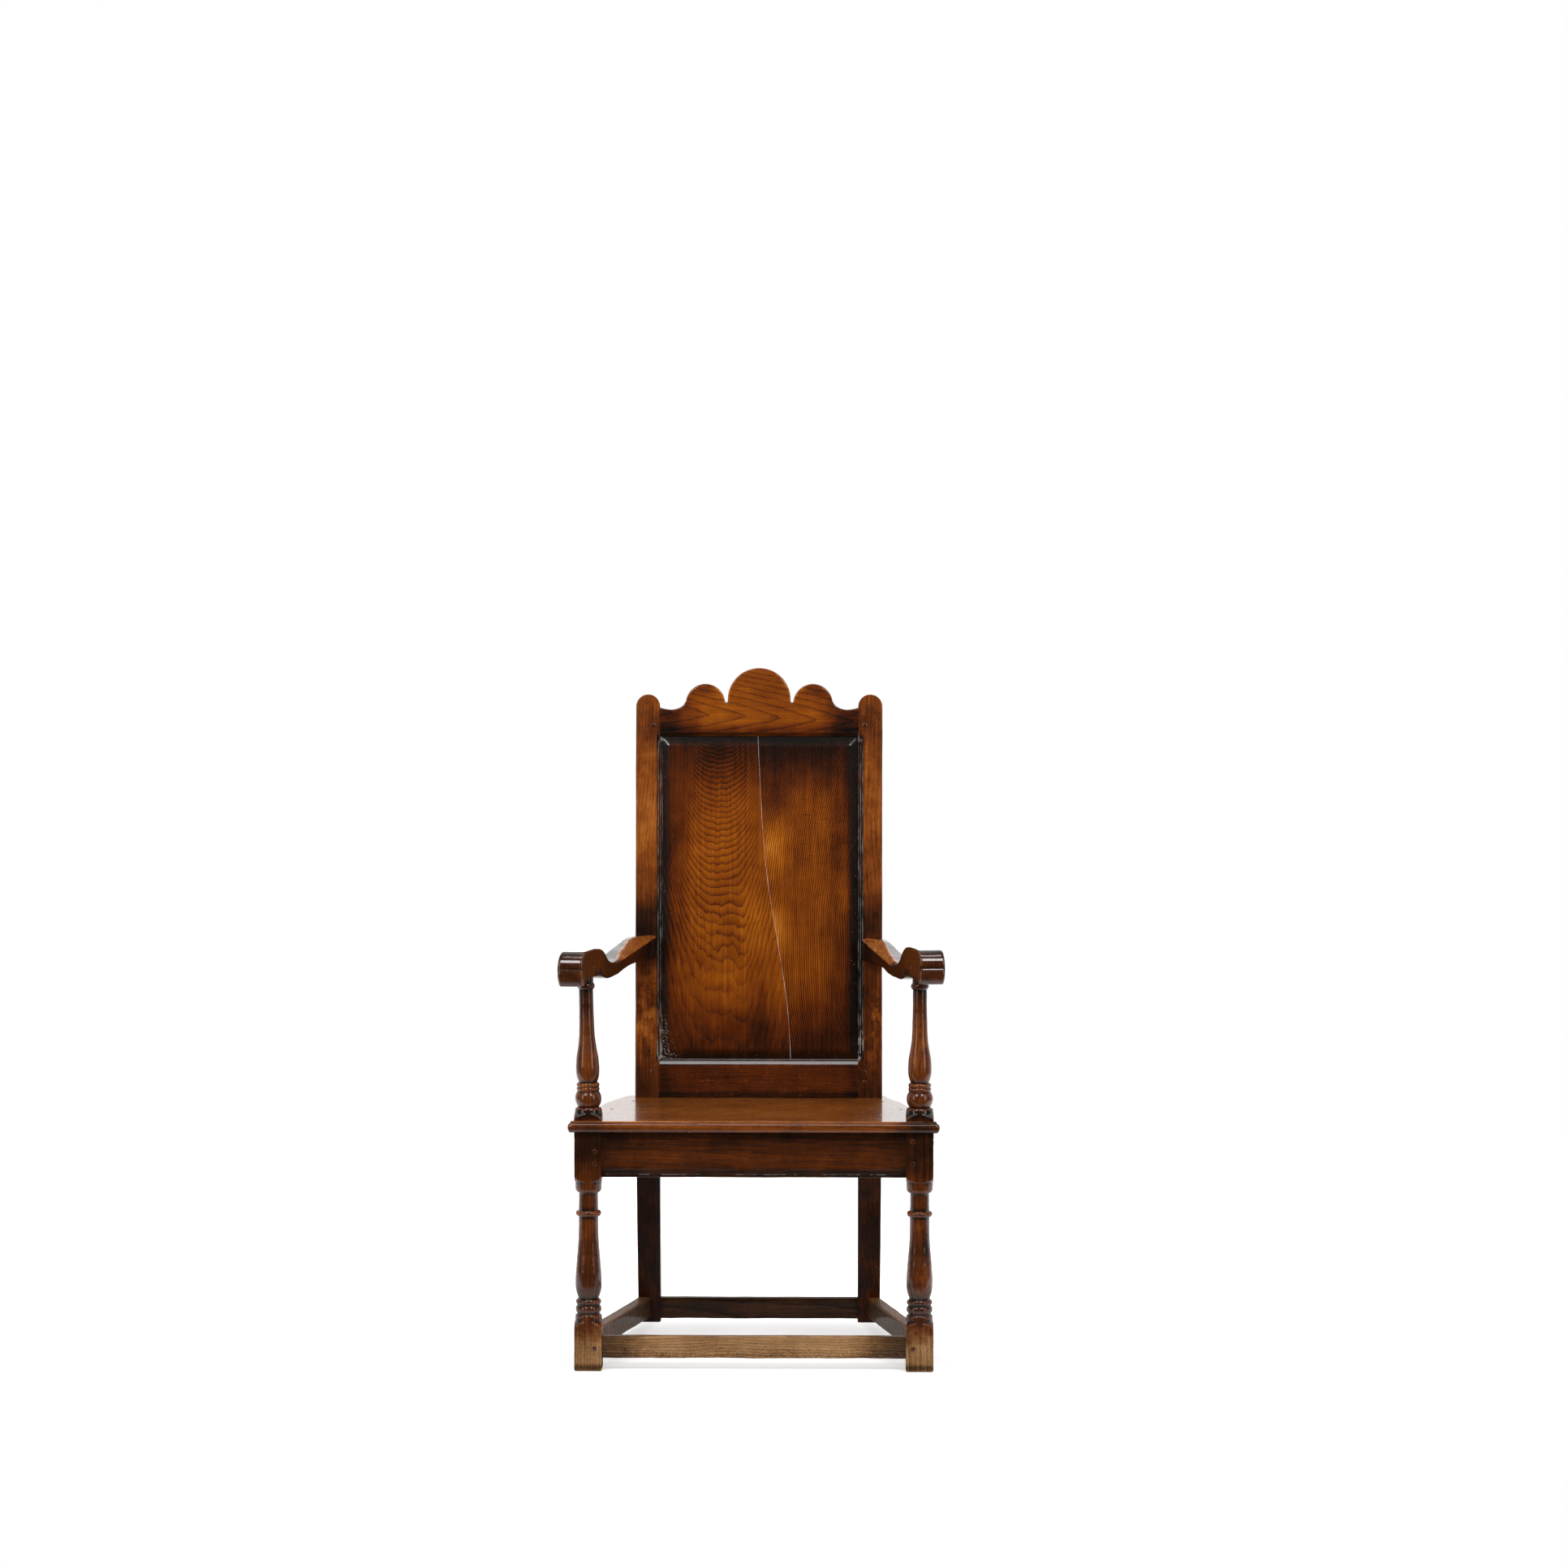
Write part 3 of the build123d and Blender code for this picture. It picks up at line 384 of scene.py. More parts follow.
def edge_paint(mesh):
    """Write how convex and how hollow the surface is at each point, as wear and hollow.

    The measure is the mean step to the neighbours along the normal over the mean squared edge, spread
    a few times along the edges, so arrises show as wear and inner corners as a place for old wax.
    """
    count = len(mesh.vertices)
    point = np.empty(count * 3)
    mesh.vertices.foreach_get("co", point)
    point = point.reshape(-1, 3) * 1000
    normal = np.empty(count * 3)
    mesh.vertices.foreach_get("normal", normal)
    normal = normal.reshape(-1, 3)
    edge = np.empty(len(mesh.edges) * 2, int)
    mesh.edges.foreach_get("vertices", edge)
    a, b = edge.reshape(-1, 2).T
    degree = np.maximum(np.bincount(a, minlength=count) + np.bincount(b, minlength=count), 1)

    def mean(at_a, at_b):
        return (np.bincount(a, at_a, count) + np.bincount(b, at_b, count)) / degree

    along = np.einsum("ij,ij->i", point[b] - point[a], normal[a])
    back = np.einsum("ij,ij->i", point[a] - point[b], normal[b])
    length = np.einsum("ij,ij->i", point[b] - point[a], point[b] - point[a])
    bend = -mean(along, back) / np.maximum(mean(length, length), 0.05)
    for name, sign in (("wear", 1), ("hollow", -1)):
        value = np.clip(sign * bend * 5.0, 0, 1)
        for _ in range(3):
            value = value * 0.5 + mean(value[b], value[a]) * 0.5
        layer = mesh.attributes.new(name, "FLOAT", "POINT")
        layer.data.foreach_set("value", np.clip(value * 1.6, 0, 1).astype(np.float32))


def piece(name, grids, nodes, material, wrap=(False, True)):
    """One object from grids of points in the joiner's frame, closed, outward and ready to ride."""
    points, faces, start = [], [], 0
    for grid in grids:
        faces.append(grid_faces(grid.shape[0], grid.shape[1], *wrap) + start)
        points.append(stand(grid).reshape(-1, 3))
        start += points[-1].shape[0]
    mesh = bpy.data.meshes.new(name)
    mesh.from_pydata(np.concatenate(points), [], np.concatenate(faces))
    work = bmesh.new()
    work.from_mesh(mesh)
    bmesh.ops.remove_doubles(work, verts=work.verts, dist=WELD)
    bmesh.ops.dissolve_degenerate(work, edges=work.edges, dist=WELD / 2)
    bmesh.ops.recalc_face_normals(work, faces=work.faces)
    if work.calc_volume(signed=True) < 0:
        bmesh.ops.reverse_faces(work, faces=work.faces)
    work.to_mesh(mesh)
    work.free()
    mesh.polygons.foreach_set("use_smooth", np.ones(len(mesh.polygons), bool))
    mesh.set_sharp_from_angle(angle=SHARP_ANGLE)
    edge_paint(mesh)
    body = bpy.data.objects.new(name, mesh)
    bpy.context.collection.objects.link(body)
    mesh.materials.append(material)
    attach(body, "root")
    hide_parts(*nodes)


# ---- shapes of the pieces --------------------------------------------------------------------------


def turned_line():
    """Half outline of a front post as (z, radius): straight runs, arcs and splines up the axis."""
    full, half = POST * 0.76, POST / 2
    arcs = [
        ((full, 69), (30.2, 79.5), (half, 85.5), 14),
        ((23.4, 92.5), (22.6, 96.6), (20.0, 98.6), 7),
        ((20.3, 100.2), (22.9, 106.4), (20.3, 113.2), 12),
        ((20.4, 115.0), (22.5, 119.4), (20.0, 124.0), 10),
        ((17.4, 268), (22.5, 273.6), (17.2, 279.2), 14),
        ((19.4, 310.4), (22.2, 313.4), (23.3, 318.5), 8),
        ((half, 328.5), (30.0, 333.8), (full, 344), 12),
        ((full, 437), (30.2, 443.4), (half, 448.5), 12),
        ((23.2, 453.5), (21.6, 457.4), (18.0, 459.0), 8),
        ((18.0, 459.0), (22.8, 472.6), (18.4, 486.6), 20),
        ((18.4, 486.6), (19.9, 490.0), (18.4, 493.6), 9),
        ((18.4, 493.6), (19.9, 497.2), (18.0, 500.8), 9),
        ((12.2, 663.5), (15.5, 669.2), (12.8, 675.0), 12),
    ]
    arc = [arc_through(*a) for a in arcs]
    vase = [
        (17.9, 125.7), (21.6, 137), (23.2, 152.7), (22.4, 174), (20.6, 195), (18.4, 223), (17.5, 246),
        (17.4, 268),
    ]
    shaft = [
        (15.9, 502.0), (18.9, 510), (20.2, 522.6), (18.5, 548), (16.0, 562), (14.2, 576),
        (12.8, 605), (12.2, 633), (12.2, 663.5),
    ]
    outline = joined(
        line_through([(full, 0), (full, 0.4), (full, 1.2), (full, 2.2), (full, 3.5), (full, 69)], 3.0),
        arc[0], line_through([(half, 85.5), (23.4, 92.5)], 2.0),
        arc[1], arc[2], arc[3],
        spline_through(vase, 2.5), arc[4],
        line_through([(17.2, 279.2), (16.9, 309.6), (17.3, 310.2), (19.0, 310.4)], 3.0),
        arc[5], line_through([(23.3, 318.5), (half, 328.5)], 2.5),
        arc[6], line_through([(full, 344), (full, 437)], 6.0),
        arc[7], line_through([(half, 448.5), (23.2, 453.5)], 1.5),
        arc[8], arc[9], arc[10], arc[11],
        spline_through(shaft, 2.5), arc[12], line_through([(12.8, 675), (12.9, ARM_SEAT + 4)], 2.0),
    )
    return outline[:, 1], outline[:, 0]


def worn_in(height):
    """How far a sole's rounded edge is drawn in at a height above the sole: a quarter circle."""
    above = np.clip(height, 0, FOOT_ROUND)
    return FOOT_ROUND - np.sqrt(FOOT_ROUND**2 - (FOOT_ROUND - above) ** 2)


def post_rows(side, seed):
    """Front post in polar form: radius is the smaller of the square billet and the turned outline.

    The square is a high power mean of the two face distances, which rounds its corners; the smaller of
    the two is taken softly, and slow ripples make the old turning a little uneven.
    """
    z, turned = turned_line()
    face = np.sin(pi / 2 * np.linspace(-1, 1, 25))[:-1]
    angle = np.concatenate([np.arctan(face) + k * pi / 2 for k in range(4)])
    c, s = np.abs(np.cos(angle)), np.abs(np.sin(angle))
    power = 34.0
    wear = 0.5 * ripple(z, seed, 90)
    square = (POST / 2) / (c**power + s**power) ** (1 / power)
    square = square[None, :] - 0.12 * (1 + wear[:, None]) * (c * s * 2)[None, :] ** 8
    uneven = 0.16 * ripple(z[:, None] + 30 * np.sin(angle), seed + 5, 70)
    turned = (turned + 0.12 * ripple(z, seed + 1, 40))[:, None]
    radius = softly_lesser(square, turned, 0.7) + uneven - worn_in(z)[:, None]
    x, y = radius * np.cos(angle), radius * np.sin(angle)
    level = np.clip(1 - z / FOOT_LEVEL, 0, 1)[:, None]
    height = z[:, None] + level * (POST / 2 + y) * tan(LEAN)
    x = x + np.maximum(height - SPLAY_FROM, 0) * tan(POST_SPLAY[side])
    return capped(np.stack([SIDES[side] * (POST_X + x), POST / 2 + y, height], -1))


def leg_front(z):
    """Front face of a back leg at a height below the seat."""
    return KNEE_Y + (SEAT_TOP - z) / SEAT_TOP * (LEG_FOOT_Y - KNEE_Y)


def stopped(z, low, high, run):
    """1 between low and high, falling to 0 along a quarter arc of the given run at each end."""
    near = np.clip(np.minimum(z - low, high - z) / run, 0, 1)
    return np.sqrt(np.clip(1 - (1 - near) ** 2, 0, 1))


def stile_rows(side, seed):
    """Stile as rounded rectangles up its height, half round at the top, chamfered where it is stopped."""
    crown = (STILE_OUTER - STILE_INNER) / 2
    spring = STILE_TOP - crown
    low = np.concatenate([np.linspace(0, 6, 7), np.linspace(8, 130, 24), np.linspace(134, 330, 34)])
    mid = np.concatenate([np.linspace(336, SEAT_TOP + 120, 60), np.linspace(560, spring, 90)])
    top = spring + crown * np.sin(np.linspace(0, pi / 2, 22)[1:])
    z = np.concatenate([low, mid, top])
    level = np.clip(1 - z / FOOT_LEVEL, 0, 1)
    z = z + level * LEG_MIDDLE_Y * tan(LEAN)
    up = (z - SEAT_TOP) / cos(RAKE)
    front = np.where(z < SEAT_TOP, leg_front(z), KNEE_Y + (z - SEAT_TOP) * tan(RAKE))
    share = np.clip((z - SEAT_TOP) / (STILE_TOP - SEAT_TOP), 0, 1)
    thick = STILE_THICK + (STILE_TOP_THICK - STILE_THICK) * share
    knee = KNEE_EASE * np.clip(1 - np.abs(z - SEAT_TOP) / KNEE_REACH, 0, 1) ** 2
    back = front + thick - knee
    across = np.where(z > spring, np.sqrt(np.clip(crown**2 - (z - spring) ** 2, 0, None)), crown)
    outer = STILE_OUTER - (STILE_OUTER - STILE_FOOT_OUTER) * np.clip(1 - z / SEAT_TOP, 0, 1)
    centre = (STILE_INNER + STILE_OUTER) / 2
    x0 = np.where(z > spring, centre - across, STILE_INNER)
    x0 = x0 - MOULDING_IN[side] * stopped(up, LOWER_RAIL_TOP - 1, CREST_BOTTOM, 6)
    x1 = np.where(z > spring, centre + across, outer)
    x1 = x1 - 0.35 + 0.3 * ripple(z, seed + 1, 300)
    front = front + 0.15 + 0.15 * ripple(z, seed + 2, 180)
    near_top = np.clip(STILE_TOP - z, 0, 2)
    foot = worn_in(z - LEG_MIDDLE_Y * tan(LEAN))
    tuck = 2 - np.sqrt(np.clip(4 - (2 - near_top) ** 2, 0, None)) + foot
    x0, x1 = x0 + foot, x1 - foot
    rounding = (1.9 + 0.35 * ripple(z, seed, 230)) * bpy.context.scene.chair_sizes.arris_wear
    moulding = size("moulding_width")
    panel_chamfer = moulding * stopped(up, LOWER_RAIL_TOP - 3, CREST_BOTTOM - 1, 14)
    leg_chamfer = LEG_CHAMFER * stopped(z, *LEG_CHAMFER_Z, 22)
    chamfer = np.maximum(1.2, np.maximum(panel_chamfer, leg_chamfer))
    limit = np.maximum((x1 - x0) / 2 - 0.05, 0.02)
    radius = np.stack([chamfer, rounding, 0.9 * rounding, rounding], 1)
    radius = np.minimum(radius, limit[:, None])
    low, high = np.stack([x0, front + tuck], 1), np.stack([x1, back - tuck], 1)
    reeds = size("reed_height") / moulding
    loop = box_loop(low, high, radius, flat=(1, 0, 0, 0), turn_steps=19, reeds=reeds)
    x, y = loop[..., 0], loop[..., 1]
    height = z[:, None] + level[:, None] * (y - LEG_MIDDLE_Y) * tan(LEAN)
    return capped(np.stack([SIDES[side] * x, y, height], -1))


def bar_rows(start, end, half, z, radius, seed, uneven=0.3, step=5.0):
    """Straight bar of rounded rectangles between two plan points; its arrises wander and wear.

    half is half its thickness in plan and z its lowest and highest height.
    """
    start, end = np.asarray(start, float), np.asarray(end, float)
    length = np.hypot(*(end - start))
    along = np.linspace(0, length, int(length / step) + 2)
    ahead = (end - start) / length
    side = np.array([ahead[1], -ahead[0]])
    low_z = z[0] + uneven * ripple(along, seed, 240)
    high_z = z[1] + 0.4 * uneven * ripple(along, seed + 1, 300)
    wide = half + 0.3 * uneven * ripple(along, seed + 2, 200)
    low = np.stack([-wide, low_z], 1)
    high = np.stack([wide, high_z], 1)
    radius = radius * bpy.context.scene.chair_sizes.arris_wear
    rounding = [radius * (1 + 0.35 * ripple(along, seed + 3 + k, 120)) for k in range(4)]
    loop = box_loop(low, high, np.stack(rounding, 1))
    place = start + along[:, None, None] * ahead + loop[..., :1] * side
    return capped(np.concatenate([place, loop[..., 1:]], -1))


def cross_bar(half_span, y, z, radius, seed, uneven=0.3):
    """Bar from side to side, 1 mm into the posts or stiles; y and z are its lowest and highest."""
    middle, end = sum(y) / 2, half_span + 1
    return bar_rows((-end, middle), (end, middle), (y[1] - y[0]) / 2, z, radius, seed, uneven)


def side_line(front_x, back_x, z):
    """Plan line of a side member from inside the post to just inside the leg."""
    middle = (z[0] + z[1]) / 2
    end_y = leg_front(middle)
    reach = (end_y - POST) / (KNEE_Y - POST)
    end_x = front_x + (back_x - front_x) * reach
    ahead = np.array([end_x - front_x, end_y - POST])
    ahead /= np.hypot(*ahead)
    start, end = np.array([front_x, POST]), np.array([end_x, end_y])
    return start - 2 * ahead, end + 5 * ahead


def side_bar(side, x, thick, z, radius, seed, uneven=0.3):
    """Bar from a front post to a back leg; x is its middle at the post and at the leg."""
    start, end = side_line(*x, z)
    return bar_rows(start, end, thick / 2, z, radius, seed, uneven) * (SIDES[side], 1, 1)


def front_rail_rows():
    """Front seat rail: a rounded section carried across; two scratched lines run along its foot.

    Each line is a hollow in the face, one minus the distance from its middle over its half width, and
    it dies out before the posts.
    """
    half = POST_X - POST / 2 + 1
    y, z = (RAIL_SETBACK, RAIL_SETBACK + RAIL_THICK), RAIL_Z
    corners = [(y[0], z[0]), (y[1], z[0]), (y[1], z[1]), (y[0], z[1])]
    section = softened(corners, [1.6, 1.4, 1.0, 1.2], 1.0)[None]
    x = np.linspace(-half, half, 190)
    run = np.clip((half - 5 - np.abs(x)) / 3, 0, 1)[:, None]
    x, back, up = x[:, None], section[..., 0], section[..., 1]
    face = np.clip(1 - (back - y[0]) / 4, 0, 1)
    depth = 0.0
    for middle in SCRATCH_Z:
        aside = np.abs(up - middle - 0.25 * ripple(x, 43, 150))
        depth = depth + size("scratch_depth") * np.clip(1 - aside / SCRATCH_HALF, 0, 1)
    wave = 0.35 * ripple(x + 0.5 * up, 45, 170) * face
    across = back + face * depth * run + wave
    return capped(np.stack(np.broadcast_arrays(x, across, up + 0.3 * ripple(x, 47, 260)), -1))


def softened(points, radius, step=1.2, turn_steps=5):
    """Closed polygon, its corners cut off by arcs of the given radii that touch both sides."""
    points = np.asarray(points, float)
    line = []
    for k, corner in enumerate(points):
        before, after = points[k - 1] - corner, points[(k + 1) % len(points)] - corner
        before, after = before / np.hypot(*before), after / np.hypot(*after)
        half = np.arccos(np.clip(before @ after, -1, 1)) / 2
        reach = radius[k] / tan(half)
        start, end = corner + before * reach, corner + after * reach
        inwards = (before + after) / np.hypot(*(before + after))
        middle = corner + inwards * (radius[k] / sin(half) - radius[k])
        line.append(arc_through(start, middle, end, turn_steps))
    closed = np.concatenate(line + [line[0][:1]])
    return joined(line_through(closed, step))[:-1]


def crest_line():
    """Top outline of the crest rail from left to right: one tall lobe, two small ones, hollow ends."""
    tall, tall_top = 57.4, 782.8  # radius and top of the middle lobe
    small, small_x, small_top = 36.0, 98.0, 753.8  # radius, middle and top of the outer ones
    notch, notch_top = 719.5, 723.0
    ends = [(138.2, 715.6), (147.5, 709.4), (163.0, 706.9), (181.5, 710.8)]
    centre, small_centre = tall_top - tall, small_top - small
    tall_x = sqrt(tall**2 - (centre - notch_top) ** 2)
    reach = sqrt(small**2 - (notch_top - small_centre) ** 2)
    small_in, small_end = small_x - reach, small_x + reach
    diagonal = tall / sqrt(2)
    hollow = [
        (tall_x, notch_top), (tall_x + 1.0, notch + 1), (tall_x + 2.4, notch), (small_in - 2.4, notch),
        (small_in - 1.0, notch + 1), (small_in, notch_top),
    ]
    right = joined(
        arc_through((0, tall_top), (diagonal, centre + diagonal), (tall_x, notch_top), 60),
        line_through(hollow, 0.8),
        arc_through((small_in, notch_top), (small_x, small_top), (small_end, notch_top), 70),
        spline_through([(small_end, notch_top), *ends], 1.5),
    )
    left = right[::-1] * [-1, 1]
    return spaced(joined(left, right), 560)


def crest_rows():
    """Crest rail: the outline's loops front to back, with worn rims and the bevel down to the panel."""
    bevel, drop, back_rim = 8.2, 7.5, 1.8
    top = crest_line()
    normal = -outward(top)
    rim = 2.3 + 0.7 * ripple(top[:, 0], 61, 60)
    count = len(top)
    bottom_x = np.linspace(top[0, 0], top[-1, 0], count)
    turn = np.linspace(0, pi / 2, 6)
    inner = top - normal * rim[:, None]
    loop = []

    def add(x, up, out):
        loop.append(np.stack(np.broadcast_arrays(x, up, out), -1))

    bevel_top = CREST_BOTTOM + bevel
    add(bottom_x, CREST_BOTTOM, -BACK_RAIL_THICK)
    add(bottom_x, CREST_BOTTOM, -drop)
    for share in np.linspace(0, 1, 5)[1:-1]:
        add(bottom_x, CREST_BOTTOM + bevel * share, -drop * (1 - share))
    for up, out in ((bevel_top - 0.7, -0.55), (bevel_top, -0.14), (bevel_top + 0.8, 0.0)):
        add(bottom_x, up, out)
    for share in np.linspace(0, 1, 12)[1:-1]:
        x = bottom_x + (inner[:, 0] - bottom_x) * share
        up = bevel_top + 0.8 + (inner[:, 1] - bevel_top - 0.8) * share
        add(x, up, 0.18 * ripple(x + 0.7 * up, 63, 90))
    for angle in turn:
        edge = inner + normal * (rim * np.sin(angle))[:, None]
        add(edge[:, 0], edge[:, 1], -rim * (1 - np.cos(angle)))
    for depth in (8.0, 13.0, 18.0):
        add(top[:, 0], top[:, 1], -depth)
    for angle in turn[::-1]:
        edge = top - normal * (back_rim * (1 - np.sin(angle)))
        add(edge[:, 0], edge[:, 1], -BACK_RAIL_THICK + back_rim * (1 - np.cos(angle)))
    for share in (0.75, 0.5, 0.25):
        up = CREST_BOTTOM + (inner[:, 1] - CREST_BOTTOM) * share
        add(bottom_x + (top[:, 0] - bottom_x) * share, up, -BACK_RAIL_THICK)
    rows = np.stack(loop, 1)
    return capped(on_back(rows[..., 0], rows[..., 1], rows[..., 2]))


def lower_rail_rows():
    """Lower back rail: its section carried between the stiles, with a bevel and a fillet at the top."""
    top = LOWER_RAIL_TOP
    corners = [
        (-0.6, 0.5), (-0.6, top - 11.0), (-1.6, top - 9.2), (-4.6, top - 4.2), (-5.6, top - 4.0),
        (-7.6, top), (-BACK_RAIL_THICK, top), (-BACK_RAIL_THICK, 0.5),
    ]
    section = softened(corners, [0.8, 0.6, 0.5, 0.5, 0.4, 0.7, 1.2, 0.8], 1.2)
    x = np.linspace(-STILE_INNER - 1, STILE_INNER + 1, 96)
    out = section[None, :, 0] + 0.14 * ripple(x[:, None] + 0.6 * section[None, :, 1], 71, 120)
    return capped(on_back(x[:, None], section[None, :, 1], out))


def panel_rows(side):
    """Half of the fielded panel: depth falls along a bevel with the distance from the nearer margin.

    Columns run from the crack to the stile on the front, then back again behind.
    """
    low, high = LOWER_RAIL_TOP - 8.5, CREST_BOTTOM + 8.5
    edge_low, edge_high = LOWER_RAIL_TOP + 0.5, CREST_BOTTOM - 0.5
    margins = [edge_low - 1, edge_low, edge_low + 1, edge_low + 5, edge_low + 11, edge_low + 16]
    bevel = size("panel_bevel")
    knee = [edge_low + bevel - 0.8, edge_low + bevel, edge_low + bevel + 0.8]
    upper = [edge_high + edge_low - u for u in (margins + knee)[::-1]]
    middle = np.linspace(edge_low + bevel + 4, edge_high - bevel - 4, 120)
    up = np.array([low] + margins + knee + list(middle) + upper + [high])
    line = spline_through(CRACK, 4.0)
    crack = np.interp(up, line[::-1, 1], line[::-1, 0])
    crack = crack + 0.25 * ripple(up, 81, 60)
    sign = SIDES[side]
    if side == "left":
        crack = crack + size("crack_width") * (1 + 0.7 * ripple(up, 89, 110)).clip(0.15)
    field, edge, tongue = STILE_INNER - 0.5 - bevel, STILE_INNER - 0.5, STILE_INNER + 8.5
    shares = [0.0, 0.004, 0.012, 0.03, *np.linspace(0.06, 0.985, 26)]
    fixed = [field - 0.8, field, field + 0.8, field + 6, field + 12, edge - 1, edge, tongue]
    columns = [crack + (sign * (field - 3) - crack) * share for share in shares]
    x = np.stack(columns + [np.full(len(up), sign * place) for place in fixed], 1)
    across = np.clip(edge - np.abs(x), 0, None)
    along = np.clip(np.minimum(up - edge_low, edge_high - up), 0, None)[:, None]
    near = np.clip(np.minimum(across, along) - PANEL_FLAT, 0, None) / (bevel - PANEL_FLAT)
    soft = 0.03
    shoulder = np.where(near > 1 + soft, 1, 1 - (1 + soft - near) ** 2 / (4 * soft))
    lift = np.where(near < 1 - soft, near, shoulder)
    wave = ripple(x + 0.15 * up[:, None], 83 + sign, 70) * 0.35
    wave = wave + ripple(up[:, None] + 0.3 * x, 85, 260) * 0.3
    out = -PANEL_SETBACK + size("panel_field") * lift + 0.22 * wave * np.clip(lift, 0, 1)
    behind = -PANEL_SETBACK - PANEL_EDGE
    back_x = x[:, ::-3]
    back = behind + 0.2 * ripple(back_x, 87, 50)
    loop_x = np.concatenate([x, back_x], 1)
    loop_out = np.concatenate([out, back], 1)
    return capped(on_back(loop_x, up[:, None], loop_out))


def seat_line():
    """Plan of the seat board, anticlockwise from the middle of its front."""
    front = -SEAT_OVERHANG
    left = spline_through(SEAT_SIDE["left"], 2.0)
    right = spline_through(SEAT_SIDE["right"], 2.0) * [-1, 1]
    half = SEAT_FRONT_HALF
    around = joined(
        line_through([(0, front), (half, front), tuple(left[0])], 2.0),
        left,
        line_through([tuple(left[-1]), tuple(right[-1])], 2.0),
        right[::-1],
        line_through([tuple(right[0]), (-half, front), (0, front)], 2.0),
    )
    return spaced(around, 901)[:-1]


def seat_rows():
    """Seat board as rings: from the middle of the underside, round the nosing, over a step to the top.

    Each ring is the plan drawn in by a distance along its normals, then eased along its length so that
    the corners are worn round.
    """
    plan = seat_line()
    normal = outward(plan, closed=True)
    corner = 1 / np.clip(np.abs(np.einsum("ij,ij->i", normal, np.roll(normal, 1, 0))), 0.6, 1)
    low, high = SEAT_TOP - SEAT_THICK, SEAT_TOP - SEAT_STEP
    nosing = size("seat_nosing")
    step = nosing - 1.5
    under = arc_through((nosing, low), (nosing * 0.293, low + nosing * 0.293), (0, low + nosing), 8)
    brow = (nosing * 0.27, high - nosing * 0.31)
    over = arc_through((0, high - nosing), brow, (step - 0.2, high - 0.25), 9)
    brow = (step + 0.65, SEAT_TOP - 0.5)
    rim = arc_through((step + 0.15, SEAT_TOP - 1.7), brow, (step + 1.9, SEAT_TOP), 6)
    profile = np.concatenate([[(26, low)], under, over, rim, [(14, SEAT_TOP), (26, SEAT_TOP)]])
    kernel = np.exp(-0.5 * (np.arange(-6, 7) / 2.2) ** 2)
    kernel /= kernel.sum()
    rings = []
    for inset, height in profile:
        ring = plan - normal * (inset * corner)[:, None]
        padded = np.concatenate([ring[-6:], ring, ring[:6]])
        ring = np.stack([np.convolve(padded[:, k], kernel, "valid") for k in range(2)], 1)
        rings.append(np.concatenate([ring, np.full((len(ring), 1), height)], 1))
    pole = np.array([0.0, 230.0])

    def drawn_in(ring, shares):
        flat = []
        for share in shares:
            inner = pole + (ring[:, :2] - pole) * share
            flat.append(np.concatenate([inner, ring[:, 2:]], 1))
        return flat

    below = drawn_in(rings[0], (0.0, 0.5))
    above = drawn_in(rings[-1], np.concatenate([np.linspace(0.97, 0.1, 22), [0.0]]))
    rows = np.stack(below + rings + above)
    x, y, z = rows[..., 0], rows[..., 1], rows[..., 2]
    wave = ripple(x + 0.3 * y, 91, 210) * 0.3 + ripple(y - 0.2 * x, 93, 150) * 0.35
    top = np.clip((z - low) / SEAT_THICK, 0, 1)
    hollow = SEAT_DIP * np.exp(-((x / 190) ** 2) - (((y - SEAT_DIP_Y) / 150) ** 2))
    inside = np.clip((y + SEAT_OVERHANG) / 60, 0, 1)
    z = z - top * inside * (0.22 * (1 + wave) + hollow)
    nose = 0.25 * ripple(x, 95, 130) * np.clip(1 - (y + SEAT_OVERHANG) / 12, 0, 1)
    return np.stack([x, y + nose * (1 - top * 0.5), z], -1)


def arm_side_x(side, y):
    """Inner and outer X of an arm's flat sides at a distance back."""
    along = (y - ARM_FRONT_Y) / (ARM_BACK_Y - ARM_FRONT_Y)
    return [front + along * (back - front) for front, back in zip(ARM_FRONT_X[side], ARM_BACK_X)]


